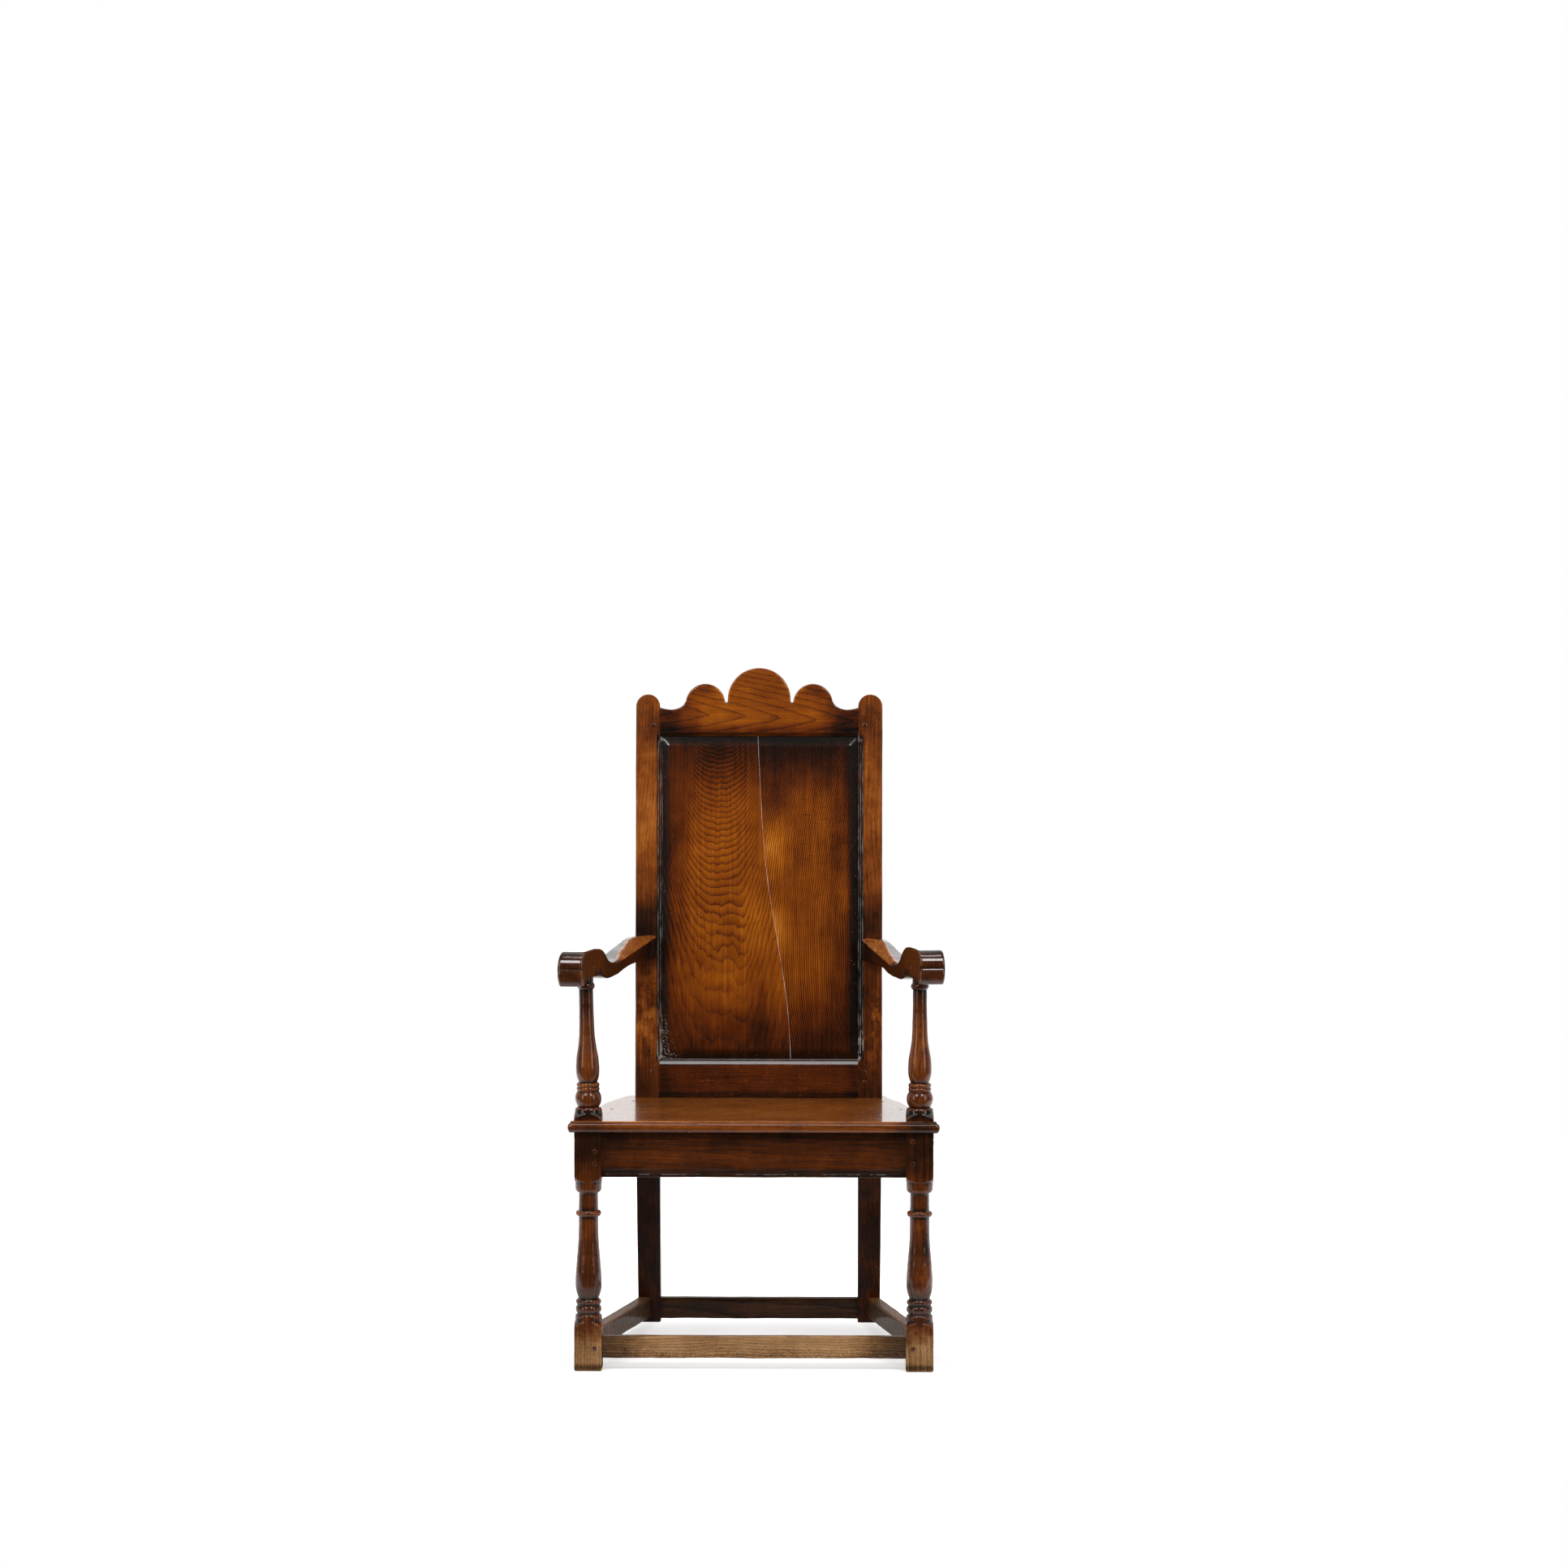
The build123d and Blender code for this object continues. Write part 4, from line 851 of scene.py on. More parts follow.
def arm_rows(side, seed):
    """Arm: its side outline carried across between splayed flats, then cut by a worn inner slope.

    The slope is a plane that rises outwards and backwards; heights above it are brought down to it
    softly. The grip's front is drawn back in proportion to the distance outwards.
    """
    lift = GRIP_LIFT[side]
    top = [(ARM_END_Y, ARM_TOP[side][0][1])] + ARM_TOP[side]
    under = ARM_UNDER[side] + [(ARM_END_Y, ARM_UNDER[side][-1][1])]
    brow, nose, chin = top[-1], (ARM_FRONT_Y, 703 + lift / 2), (-39, 671.5 + lift)
    upper = joined(spline_through(top, 2.0), arc_through(brow, (-39, 724 + lift), nose, 22))
    lip = spline_through([chin, (-30, 671 + lift), (-20, 675 + lift / 2), (-11, ARM_SEAT)], 1.5)
    pad = [(-11, ARM_SEAT), (39, ARM_SEAT), (40.4, 684), (41, 689.5), (43, 690.8), (74, 694.6)]
    cheek = arc_through(nose, (ARM_FRONT_Y - 0.5, 685 + lift / 2), chin, 22)
    lower = joined(cheek, lip, line_through(pad, 2.0), spline_through(under, 2.0))
    upper, lower = spaced(upper, 260), spaced(lower, 260)
    middle = (upper + lower[::-1]) / 2
    outline = np.concatenate([upper, lower[1:]])
    skeleton = np.concatenate([middle, middle[::-1][1:]])
    low, high = [], []
    for line in (outline, skeleton):
        inner, outer = arm_side_x(side, line[:, 0])
        low.append(inner + 0.25 * ripple(line[:, 0], seed, 120))
        high.append(outer + 0.3 * ripple(line[:, 0], seed + 1, 140))
    sizes = bpy.context.scene.chair_sizes
    worn = (3.6 + 0.9 * ripple(outline[:, 0], seed + 2, 90)) * sizes.arris_wear
    rows = extruded(outline, skeleton, low, high, worn)
    y, z, x = rows[..., 0], rows[..., 1], rows[..., 2]
    inner = arm_side_x(side, WEAR_Y)[0]
    slope = ARM_WEAR[side] + WEAR_ACROSS * (x - inner) + WEAR_ALONG * (y - WEAR_Y)
    slope = slope + 0.35 * ripple(y, seed + 3, 60) + 150 * (1 - np.clip((y - 120) / 60, 0, 1)) ** 2
    z = softly_lesser(z, slope, 1.6) + 0.15 * ripple(y + 0.5 * x, seed + 4, 80)
    outwards = x - ARM_FRONT_X[side][0] + 4
    y = y + outwards * tan(sizes.grip_turn) * np.clip(-y / 40, 0, 1)
    return np.stack([SIDES[side] * x, y, z], -1)


def peg_rows(centre, into, radius, proud, seed):
    """A peg's head: rings from the middle of its slightly domed end out to the rim and down its side."""
    rng = np.random.default_rng(seed)
    centre, into = np.asarray(centre, float), np.asarray(into, float)
    across = np.cross(into, (0.0, 0.0, 1.0) if abs(into[2]) < 0.9 else (1.0, 0.0, 0.0))
    across /= np.linalg.norm(across)
    other = np.cross(into, across)
    angle = np.linspace(0, 2 * pi, 29)[:-1]
    facets = 1 + 0.035 * np.cos(angle * 8 + rng.uniform(0, 6))
    facets = facets + 0.03 * np.cos(angle * 2 + rng.uniform(0, 6))
    rings = [
        (0.0, 0.12), (0.35, 0.1), (0.7, 0.05), (0.86, -0.08), (0.95, -0.25), (1.0, -0.6), (1.0, -2.0),
        (0.98, -12.0), (0.0, -12.0),
    ]
    disc = np.outer(np.cos(angle) * facets, across) + np.outer(np.sin(angle) * facets, other)
    rows = []
    for share, height in rings:
        lift = proud + height if height > -1 else height
        tilt = 0.05 * share * np.cos(angle + rng.uniform(0, 6))
        rows.append(centre + disc * radius * share - into * (lift + tilt)[:, None])
    return np.stack(rows)


def peg_places():
    """Peg heads as (middle of the head, direction in, radius, proud), in groups."""
    into_back = (0, cos(RAKE), -sin(RAKE))
    leg_rake = atan((LEG_FOOT_Y - KNEE_Y) / SEAT_TOP)
    into_leg = (0, -cos(leg_rake), -sin(leg_rake))
    groups = {}

    def add(group, at, into, radius=None, proud=None):
        head = (at, into, radius or size("peg_radius"), proud or size("peg_height"))
        groups.setdefault(group, []).append(head)

    for side, sign in SIDES.items():
        outer_post, inwards = sign * (POST_X + POST / 2), (-sign, 0, 0)
        for z in PEG_Z["front rail " + side]:
            add("pegs_front_seat_rail", (sign * POST_PEG_X[0], 0.2, z), (0, 1, 0))
        add("pegs_front_stretcher", (sign * POST_PEG_X[1], 0.2, PEG_Z["front stretcher"]), (0, 1, 0))
        for z in PEG_Z["seat rails"]:
            leg = leg_front(z)
            add("pegs_side_seat_rails", (outer_post, POST_PEG_Y, z), inwards)
            add("pegs_side_seat_rails", (sign * LEG_FACE_X[0], leg + LEG_PEG_BACK, z), inwards)
            add("pegs_rear_seat_rail", (sign * LEG_PEG_X, leg + STILE_THICK, z), into_leg)
        z = PEG_Z["side stretchers"]
        add("pegs_side_stretchers", (outer_post, POST_PEG_Y, z), inwards)
        add("pegs_side_stretchers", (sign * LEG_FACE_X[1], leg_front(z) + LEG_PEG_BACK, z), inwards)
        z = PEG_Z["rear stretcher"]
        add("pegs_rear_stretcher", (sign * LEG_PEG_X, leg_front(z) + STILE_THICK, z), into_leg)
        for up in PEG_UP["lower rail " + side]:
            add("pegs_lower_back_rail", on_back(sign * STILE_PEG_X, up, 0), into_back)
        add("pegs_crest_rail", on_back(sign * STILE_PEG_X, PEG_UP["crest"], 0), into_back)
        place = (sign * STILE_OUTER, ARM_BACK_Y + 11, PEG_Z["arm to stile"])
        add("pegs_arms", place, inwards, ARM_PEG_RADIUS[0])
        place = (sign * arm_side_x(side, POST / 2)[0], POST / 2, PEG_Z["arm to post"])
        add("pegs_arms", place, (sign, 0, 0), ARM_PEG_RADIUS[1])
        for x, y in SEAT_PEGS:
            add("seat_pegs", (sign * x, y, SEAT_TOP), (0, 0, -1), *SEAT_PEG)
    add("seat_pegs", (*SEAT_FRONT_PEG, SEAT_TOP), (0, 0, -1), *SEAT_PEG)
    return groups


# ---- finishes --------------------------------------------------------------------------------------


def feed(tree, sockets, values):
    """Link each Field to its socket; a plain number becomes the socket's own value."""
    for socket, value in zip(sockets, values):
        if isinstance(value, Field):
            tree.links.new(value.socket, socket)
        else:
            socket.default_value = value


def parts_of(tree, vector):
    """X, Y and Z of a vector as Fields."""
    split = tree.nodes.new("ShaderNodeSeparateXYZ")
    tree.links.new(vector, split.inputs[0])
    return [Field(tree, socket) for socket in split.outputs]


def total(*marks):
    """Sum of several values."""
    result = marks[0]
    for mark in marks[1:]:
        result = result + mark
    return result


class Field:
    """A value that varies over a piece; arithmetic on it adds Math nodes."""

    def __init__(self, tree, socket):
        self.tree, self.socket = tree, socket

    def apply(self, operation, *others, first=None):
        """Math on this value and the others, or on a first value and this one."""
        node = self.tree.nodes.new("ShaderNodeMath")
        node.operation = operation
        feed(self.tree, node.inputs, (self, *others) if first is None else (first, self))
        return Field(self.tree, node.outputs[0])

    def __add__(self, other):
        return self.apply("ADD", other)

    def __sub__(self, other):
        return self.apply("SUBTRACT", other)

    def __rsub__(self, other):
        return self.apply("SUBTRACT", first=other)

    def __mul__(self, other):
        return self.apply("MULTIPLY", other)

    def __truediv__(self, other):
        return self.apply("DIVIDE", other)

    def __pow__(self, other):
        return self.apply("POWER", other)

    def __abs__(self):
        return self.apply("ABSOLUTE")

    __radd__ = __add__
    __rmul__ = __mul__

    def least(self, other):
        """The smaller of the two."""
        return self.apply("MINIMUM", other)

    def most(self, other):
        """The larger of the two."""
        return self.apply("MAXIMUM", other)

    def fade(self, start, end):
        """0 up to start, 1 from end, smooth between them; start may be the larger."""
        node = self.tree.nodes.new("ShaderNodeMapRange")
        node.interpolation_type = "SMOOTHSTEP"
        self.tree.links.new(self.socket, node.inputs["Value"])
        node.inputs["From Min"].default_value = min(start, end)
        node.inputs["From Max"].default_value = max(start, end)
        if start > end:
            node.inputs["To Min"].default_value, node.inputs["To Max"].default_value = 1, 0
        return Field(self.tree, node.outputs[0])

    def near(self, middle, half):
        """1 at a value, falling smoothly to 0 at half either side of it."""
        return abs(self - middle).fade(half, 0)


class Finish:
    """A material whose patterns are drawn in the joiner's millimetres, or in the raked back's own."""

    def __init__(self, name, raked=False):
        self.material = bpy.data.materials.new(name)
        self.material.use_nodes = True
        self.tree = self.material.node_tree
        self.shader = self.tree.nodes["Principled BSDF"]
        coordinates = self.tree.nodes.new("ShaderNodeTexCoord")
        mapping = self.tree.nodes.new("ShaderNodeMapping")
        turn = LEAN
        origin = np.array([-ORIGIN[0], -ORIGIN[1] * cos(LEAN), -ORIGIN[1] * sin(LEAN)])
        if raked:
            turn += RAKE
            _, y, z = origin - (0, KNEE_Y, SEAT_TOP)
            origin = (origin[0], y * cos(RAKE) - z * sin(RAKE), y * sin(RAKE) + z * cos(RAKE))
        mapping.inputs["Location"].default_value = origin
        mapping.inputs["Rotation"].default_value = (turn, 0, 0)
        mapping.inputs["Scale"].default_value = (1000, 1000, 1000)
        self.tree.links.new(coordinates.outputs["Object"], mapping.inputs["Vector"])
        self.x, self.y, self.z = parts_of(self.tree, mapping.outputs[0])

    def point(self, *values):
        """A vector from three values."""
        node = self.tree.nodes.new("ShaderNodeCombineXYZ")
        feed(self.tree, node.inputs, values)
        return node.outputs[0]

    def cloud(self, x, y, z, detail=2.0, rough=0.5):
        """Smooth noise about 0, from -0.5 to 0.5, of three values in units of its grain."""
        node = self.tree.nodes.new("ShaderNodeTexNoise")
        self.tree.links.new(self.point(x, y, z), node.inputs["Vector"])
        node.inputs["Scale"].default_value = 1.0
        node.inputs["Detail"].default_value = detail
        node.inputs["Roughness"].default_value = rough
        return Field(self.tree, node.outputs[0]) - 0.5

    def noise(self, x, y, z, detail=2.0, rough=0.5):
        """The same noise at this place, its grains as long as given in millimetres."""
        return self.cloud(self.x / x, self.y / y, self.z / z, detail, rough)

    def spots(self, spacing):
        """Distance to the nearest of scattered points, in units of their spacing."""
        node = self.tree.nodes.new("ShaderNodeTexVoronoi")
        place = self.point(self.x / spacing, self.y / spacing, self.z / spacing)
        self.tree.links.new(place, node.inputs["Vector"])
        node.inputs["Scale"].default_value = 1.0
        return Field(self.tree, node.outputs["Distance"])

    def painted(self, name):
        """A value kept at the mesh's points."""
        node = self.tree.nodes.new("ShaderNodeAttribute")
        node.attribute_name = name
        return Field(self.tree, node.outputs["Fac"])

    def ramp(self, value, stops):
        """Colour from a value, through (place, colour) stops."""
        node = self.tree.nodes.new("ShaderNodeValToRGB")
        self.tree.links.new(value.socket, node.inputs["Fac"])
        ramp = node.color_ramp
        while len(ramp.elements) < len(stops):
            ramp.elements.new(0.5)
        for element, (place, colour) in zip(ramp.elements, stops):
            element.position = place
            element.color = (*colour, 1)
        return node.outputs["Color"]

    def mixed(self, share, first, second):
        """Colour between two, by a share from 0 to 1."""
        node = self.tree.nodes.new("ShaderNodeMix")
        node.data_type = "RGBA"
        self.tree.links.new(share.socket, node.inputs["Factor"])
        self.tree.links.new(first, node.inputs[6])
        self.tree.links.new(second, node.inputs[7])
        return node.outputs[2]

    def finish(self, colour, roughness, height, coat, coat_roughness):
        """Wire the shader up; height is in millimetres."""
        bump = self.tree.nodes.new("ShaderNodeBump")
        bump.inputs["Strength"].default_value = 1.0
        bump.inputs["Distance"].default_value = 0.001
        self.tree.links.new(height.socket, bump.inputs["Height"])
        self.tree.links.new(bump.outputs["Normal"], self.shader.inputs["Normal"])
        self.tree.links.new(colour, self.shader.inputs["Base Color"])
        self.tree.links.new(roughness.socket, self.shader.inputs["Roughness"])
        for name, value in (
            ("IOR", 1.5),
            ("Specular IOR Level", 0.08),
            ("Coat Weight", coat),
            ("Coat Roughness", coat_roughness),
            ("Coat IOR", 1.5),
        ):
            self.shader.inputs[name].default_value = value
        return self.material


def linear(colour):
    """Linear colour from one as it shows on screen, 0 to 255."""
    value = np.array(colour) / 255.0
    return tuple(np.where(value <= 0.04045, value / 12.92, ((value + 0.055) / 1.055) ** 2.4))


def tones(wood):
    """The six colours of a wood among the settings, from dark to pale, with their places from 0 to 1."""
    colours = bpy.context.scene.chair_colours
    return [(k / 5, tuple(getattr(colours, f"{wood}_{k + 1}"))) for k in range(6)]


def oak(
    name, grain, figure, shade, wood="oak", raked=False, level=0.5, pore=1.0, ring=1.0, narrow=2.2,
    wear=0.3, blotch=1.0, gloss=0.0, coat=0.8, coat_roughness=0.13, dry=None, white_wax_and_glints=None, polish=None,
):
    """Polished old oak.

    grain is the axis that the fibres follow. figure(finish, along, across, depth) gives the growth rings
    as a value that rises by 1 a ring. shade(finish) and level are added up to the tone, which runs from
    0, black wax, to 1, bare worn wood. Each ring begins with a dark porous band: one less the ring's
    fraction, to the power narrow, and ring is its contrast. Pores are short dark dashes along the grain,
    close in that band and rare outside it. wear makes arrises paler and blotch scales the slow patches.
    dry(finish) is 1 where the polish is gone and the wood is a dull tan, and polish(finish) is the share
    of the coat that is left. The argument after dry gives 1 where old wax has turned white, and where
    white highlights are painted.
    """
    f = Finish(name, raked)
    along, across, depth = {"x": (f.x, f.z, f.y), "y": (f.y, f.x, f.z), "z": (f.z, f.x, f.y)}[grain]

    def drawn_out(length, width, detail, rough):
        return f.cloud(along / length, across / width, depth / width, detail, rough)

    rings = figure(f, along, across, depth)
    contrast = ring(f) if callable(ring) else ring
    band = (1.0 - rings.apply("FRACT")) ** narrow
    fibre = drawn_out(34, 0.9, 4.0, 0.62)
    streak = drawn_out(130, 4.5, 3.0, 0.55)
    pores = (drawn_out(6.0, 0.42, 1.5, 0.5) + band * 0.16).fade(0.12, 0.24) * pore
    scratch = drawn_out(0.8, 11, 2.0, 0.5).fade(0.2, 0.28)
    mottle = f.noise(26, 26, 26, 3.0, 0.6)
    patina = f.noise(95, 95, 95)
    knock = f.spots(34).fade(0.075, 0.03)
    fleck = f.noise(3.2, 3.2, 3.2, 3.0, 0.7).fade(0.2, 0.3)
    worn, waxed = f.painted("wear"), f.painted("hollow")
    setting = bpy.context.scene.chair_finish

    tone = total(
        shade(f) + (level + setting.tone),
        fibre * 0.24,
        streak * 0.34,
        band * -0.16 * contrast,
        pores * -0.18,
        (mottle * 0.2 + patina * 0.28) * blotch,
        knock * -0.18,
        fleck * -0.1,
        worn * (wear + mottle * 0.5),
        waxed * -0.55,
    )
    colour = f.ramp(tone, tones(wood))
    roughness = total(
        mottle * 0.16 + (0.34 - gloss - setting.gloss), pores * 0.25, waxed * 0.2, fleck * 0.1
    )
    if dry:
        bare = dry(f)
        colour = f.mixed(bare, colour, f.ramp(tone, tones("dry")))
        roughness = roughness + bare * 0.3
    # white old wax, and white painted highlights on the stiles' reeds
    if white_wax_and_glints:
        white = white_wax_and_glints(f)
        wax_and_glint_colour = tuple(bpy.context.scene.chair_colours.wax_and_glint_colour)
        colour = f.mixed(white, colour, f.ramp(white, [(0, wax_and_glint_colour), (1, wax_and_glint_colour)]))
        roughness = roughness + white * 0.4
    if polish:
        f.tree.links.new((polish(f) * coat).socket, f.shader.inputs["Coat Weight"])
    height = total(
        fibre * 0.05,
        streak * 0.08,
        pores * -0.1,
        band * -0.05 * contrast,
        knock * -0.3,
        scratch * -0.03,
        mottle * 0.25,
        f.noise(9, 9, 9) * 0.06,
    )
    return f.finish(colour, roughness, height, coat, coat_roughness)


# ---- growth rings ----------------------------------------------------------------------------------


def slow_rings(spacing, pith=(60.0, 90.0), tilt=0.012):
    """Rings of a board sawn beside the pith: distance from a wandering line over the spacing."""

    def figure(f, along, across, depth):
        wander = f.cloud(along / 260, across / 120, depth / 120) * 30
        u, v = across - pith[0] + wander, depth - pith[1]
        return (u * u + v * v) ** 0.5 / spacing + along * tilt + wander * 0.02

    return figure


def bowl_rings(f, along, across, depth):
    """Cathedral figure: height less a steep curve of the distance from its middle line, as nested bowls.

    The rings lie far apart at the foot and crowd to 6 mm at the top, where the bowls are smooth; lower
    down a second dip beside the first and coarse noise break them into zigzags.
    """
    low = along.fade(420, 250)
    fine = f.cloud(across / 9, along / 110, 0.0, 3.0, 0.6) * 9
    ragged = f.cloud(across / 15, along / 40, 4.0, 3.0, 0.65) * low * 44
    ragged = ragged + f.cloud(across / 50, along / 70, 7.0) * 16
    middle = across + 71 - low * 5 + f.cloud(along / 150, 3.0, across / 200, 1.0) * 14
    aside = abs(middle)
    bowl = (aside.least(70) / 56) ** 2.7 * 40 + (aside - 70).most(0) * 4.2
    rise = along - bowl + abs(middle - 42).fade(26, 0) * low * 34 + fine + ragged
    return rise * 0.02 + (rise - 150).most(0) ** 2 * 0.0001


def straight_rings(f, along, across, depth):
    """Figure away from the middle of the board: lines 4 mm apart that bow with the height."""
    bow = (along - 290) * (along - 290) * 0.00045 + f.cloud(along / 120, across / 60, 1.0) * 14
    return (across - bow) / 3.9


def crest_rings(f, along, across, depth):
    """Cathedral figure along the crest: a few toothed V lines, their points to the sitter's left."""
    ragged = f.cloud(along / 26, across / 9, 0.0, 3.0, 0.65) * 22
    ragged = ragged + f.cloud(along / 5, across / 2.5, 2.0) * 7
    aside = abs(across - 693 + along * 0.05 + f.cloud(along / 120, 5.0, 0.0, 1.0) * 12)
    return (along + 24 + (aside / 10) ** 1.5 * 14 + aside * 1.5 + ragged) * -0.0152


def panel_contrast(side):
    """Contrast of the panel's rings: in patches on one half, and fading out at the foot on the other."""
    if side == "left":
        return lambda f: f.cloud(f.x / 30, 9.0, f.z / 90) * 3.0 + 2.9
    return lambda f: f.cloud(f.x / 60, 9.0, f.z / 24) * 2.2 + 0.5 + f.z.fade(190, 340) * 1.2


# ---- tones of the pieces, by place in millimetres --------------------------------------------------


def post_shade(f):
    """Paler to the scuffed foot, dark round the seat joint and the collar, with painted shade under the
    arm.
    """
    foot = f.z + f.noise(20, 20, 14, 3.0, 0.65) * 70
    speckle = f.noise(2.4, 2.4, 3.6, 3.0, 0.7).fade(0.02, 0.2) * f.z.fade(100, 40)
    return total(
        foot.fade(92, 30) * 0.23,
        speckle * -0.3,
        f.z.near(7, 9) * -0.3,  # sole
        f.z.near(110, 60) * -0.11,  # lower beads
        f.z.near(210, 100) * -0.05,  # lower vase
        f.z.near(392, 78) * -0.2,  # square block at the seat
        f.z.near(449, 13) * -0.26,  # shoulder on the seat
        f.z.near(560, 92) * 0.1,  # upper vase
        f.z.fade(640, 676) * -0.22,  # painted shade under the arm
    )


def post_dryness(f):
    """1 on the foot, where the polish is worn off."""
    return (f.z + f.noise(20, 20, 14, 3.0) * 50).fade(84, 40)


def on_moulding(f, outer):
    """1 on the moulding of either stile, whose outer edge is at about the given X."""
    return f.x.fade(*outer) * f.x.fade(-187.0, -185.6) * f.z.fade(502, 512) * f.z.fade(1100, 1090)


def stile_shade(f):
    """Dark by the seat, at the arms and in the moulding, whose reeds carry painted highlights; bright
    above them.
    """
    wander = f.z + f.cloud(f.x / 60, 0.0, f.z / 60) * 60
    patch = f.noise(34, 34, 60, 4.0, 0.65).fade(-0.06, 0.05) - 0.5
    return total(
        f.z.fade(40, 5) * 0.12,  # sole
        f.z.fade(440, 405) * -0.03,  # painted shade below the seat
        wander.fade(560, 452) * -0.26,  # beside the lower rail and down
        f.z.near(700, 34) * -0.16,  # painted shade under the arm
        wander.near(752, 72) * -0.3,  # over the arm
        wander.near(985, 190) * 0.12,
        wander.near(1116, 62) * -0.1,  # beside the crest
        # the moulding darker, with painted highlights on its reed peaks
        on_moulding(f, (191.5, 190.0)) * (f.painted("wear") * 0.8 - 0.36),
        patch * (f.z.near(590, 130) * 0.22 + 0.04),
    )


def moulding_glints(f):
    """Painted highlights in broken white lines along the peaks of the stiles' moulding reeds."""
    broken = f.cloud(f.x / 3, 0.0, f.z / 38, 3.0, 0.7).fade(-0.04, 0.08)
    return on_moulding(f, (192, 190)) * f.painted("wear").fade(0.015, 0.06) * broken * 0.75


def crest_shade(f):
    """Golden in the middle, dark at both ends, on the small lobes and along the panel."""
    end = abs(f.x) + f.cloud(f.x / 50, 2.0, f.z / 50) * 50
    return total(
        end.fade(96, 158) * -0.34,
        end.near(98, 34) * f.z.fade(722, 742) * -0.16,  # small lobes
        f.z.fade(686, 662) * -0.32,  # along the panel
        f.z.near(700, 46) * 0.05,
        f.z.fade(752, 786) * -0.08,  # top of the tall lobe
    )


def panel_shade(side):
    """Golden middle in a dark margin, nearly black on the bevel, with rubbed and smoked patches."""

    def shade(f):
        drift = f.cloud(f.x / 60, 1.0, f.z / 80, 3.0, 0.6) * 70
        inside = (abs(f.x) + drift).fade(176, 108)
        inside = inside * (f.z + drift).fade(78, 220) * (f.z - drift).fade(660, 500)
        bevel = abs(f.x).fade(158, 176).most(f.z.fade(640, 656)).most(f.z.fade(92, 76))
        tone = total(
            (inside - 1.0) * 0.36,
            bevel * -0.22,
            f.z.fade(580, 645) * -0.07,
            abs(f.x).near(150, 22) * 0.05,
        )
        if side == "right":
            bright = f.x.near(-10, 34) * (f.z + drift * 0.4).near(318, 90)
            return tone + bright * 0.1 - f.x.near(0, 30) * f.z.fade(268, 222) * 0.09
        rubbed = (f.x + drift * 0.2).near(30, 40) * f.z.near(462, 86).most(f.z.near(300, 74))
        smoke = (f.x + drift * 0.3).near(22, 46) * (f.z + drift * 0.5).near(528, 62)
        curl = f.cloud(f.x / 34, 0.0, f.z / 3.4).fade(0.08, 0.2) * f.x.fade(40, 90)
        return total(
            tone,
            rubbed * 0.28,
            f.x.near(156, 16) * f.z.near(400, 200) * 0.16,
            (smoke + (f.z - drift).fade(520, 620) * 0.45) * -0.17,
            curl * f.z.near(480, 150) * -0.14,
            f.x.near(30, 40) * f.z.fade(262, 200) * -0.12,
        )

    return shade


def margin_wax(f):
    """White specks of old wax along the panel's margins, thickest in the lower corner on the right."""
    edge = abs(f.x).fade(160, 170).most(f.z.fade(92, 80))
    corner = f.x.fade(-128, -160) * f.z.fade(190, 110)
    specks = f.noise(2.2, 2.2, 3.4, 3.0, 0.7) + edge * 0.08 + corner * 0.12
    return specks.fade(0.27, 0.31) * edge.most(corner) * 0.8


def panel_rail_shade(f):
    """Golden flakes in the middle of the lower back rail, dark towards both ends and both edges."""
    flake = f.cloud(f.x / 9, 0.0, f.z / 3.2, 3.0, 0.65).fade(0.04, 0.2)
    middle = (abs(f.x) + f.cloud(f.x / 50, 3.0, f.z / 30) * 40).fade(182, 120)
    edges = f.z.near(4, 12) + f.z.fade(56, 66)
    return middle * (flake * 0.18 + 0.05) - edges * 0.2 - abs(f.x).fade(150, 180) * 0.1


def seat_shade(f):
    """Warm where it is sat on and along the front edge, dark round the posts, raw at the end grain."""
    post = ((abs(f.x) - POST_X) ** 2.0 + (f.y - POST / 2) ** 2.0) ** 0.5
    curve = f.y - 60 + f.x * f.x * 0.0006 + f.cloud(f.x / 60, f.y / 60, 0.0) * 26
    return total(
        post.fade(52, 26) * -0.3,
        f.z.fade(422, 412) * -0.22,  # underside
        abs(f.x).fade(318, 323) * f.z.fade(434, 428) * 0.3,  # end grain
        f.y.near(-4, 12) * 0.1,  # front arris
        f.z.fade(434.8, 433.2) * f.y.fade(0, -8) * -0.2,  # nosing below the step
        f.x.near(0, 220) * f.y.near(170, 190) * 0.06,  # where it is sat on
        curve.near(0, 7) * f.x.near(-40, 190) * 0.09,
        f.y.fade(385, 425) * -0.12,  # back
        f.x.fade(200, 320) * -0.14,
    )


def front_rail_shade(f):
    """Dark with a little gold along the middle, and darkest at the ends and in the scratched lines."""
    middle = (f.z + f.cloud(f.x / 90, 0.0, f.z / 20) * 24).near(370, 34)
    dark = abs(f.x).fade(210, 262) + f.z.fade(354, 346) + f.y.fade(8, 14)
    return middle * 0.12 - dark * 0.1


def stretcher_shade(f):
    """Tan along the front stretcher, with dark dirt in specks and at its ends; the rear one is dark."""
    front = f.y.fade(40, 34)
    speckle = f.noise(3.0, 3.0, 1.4, 4.0, 0.75) + f.z.fade(48, 24) * 0.1
    end = abs(f.x + 4) + f.cloud(f.x / 18, 0.0, f.z / 10, 3.0, 0.6) * 70
    tan_front = end.fade(150, 250) * -0.4 - speckle.fade(0.06, 0.2) * 0.28 + 0.38
    top = f.z.fade(60.5, 64) * (1.0 - front)
    return front * tan_front - f.y.fade(440, 470) * 0.06 + top * 0.25


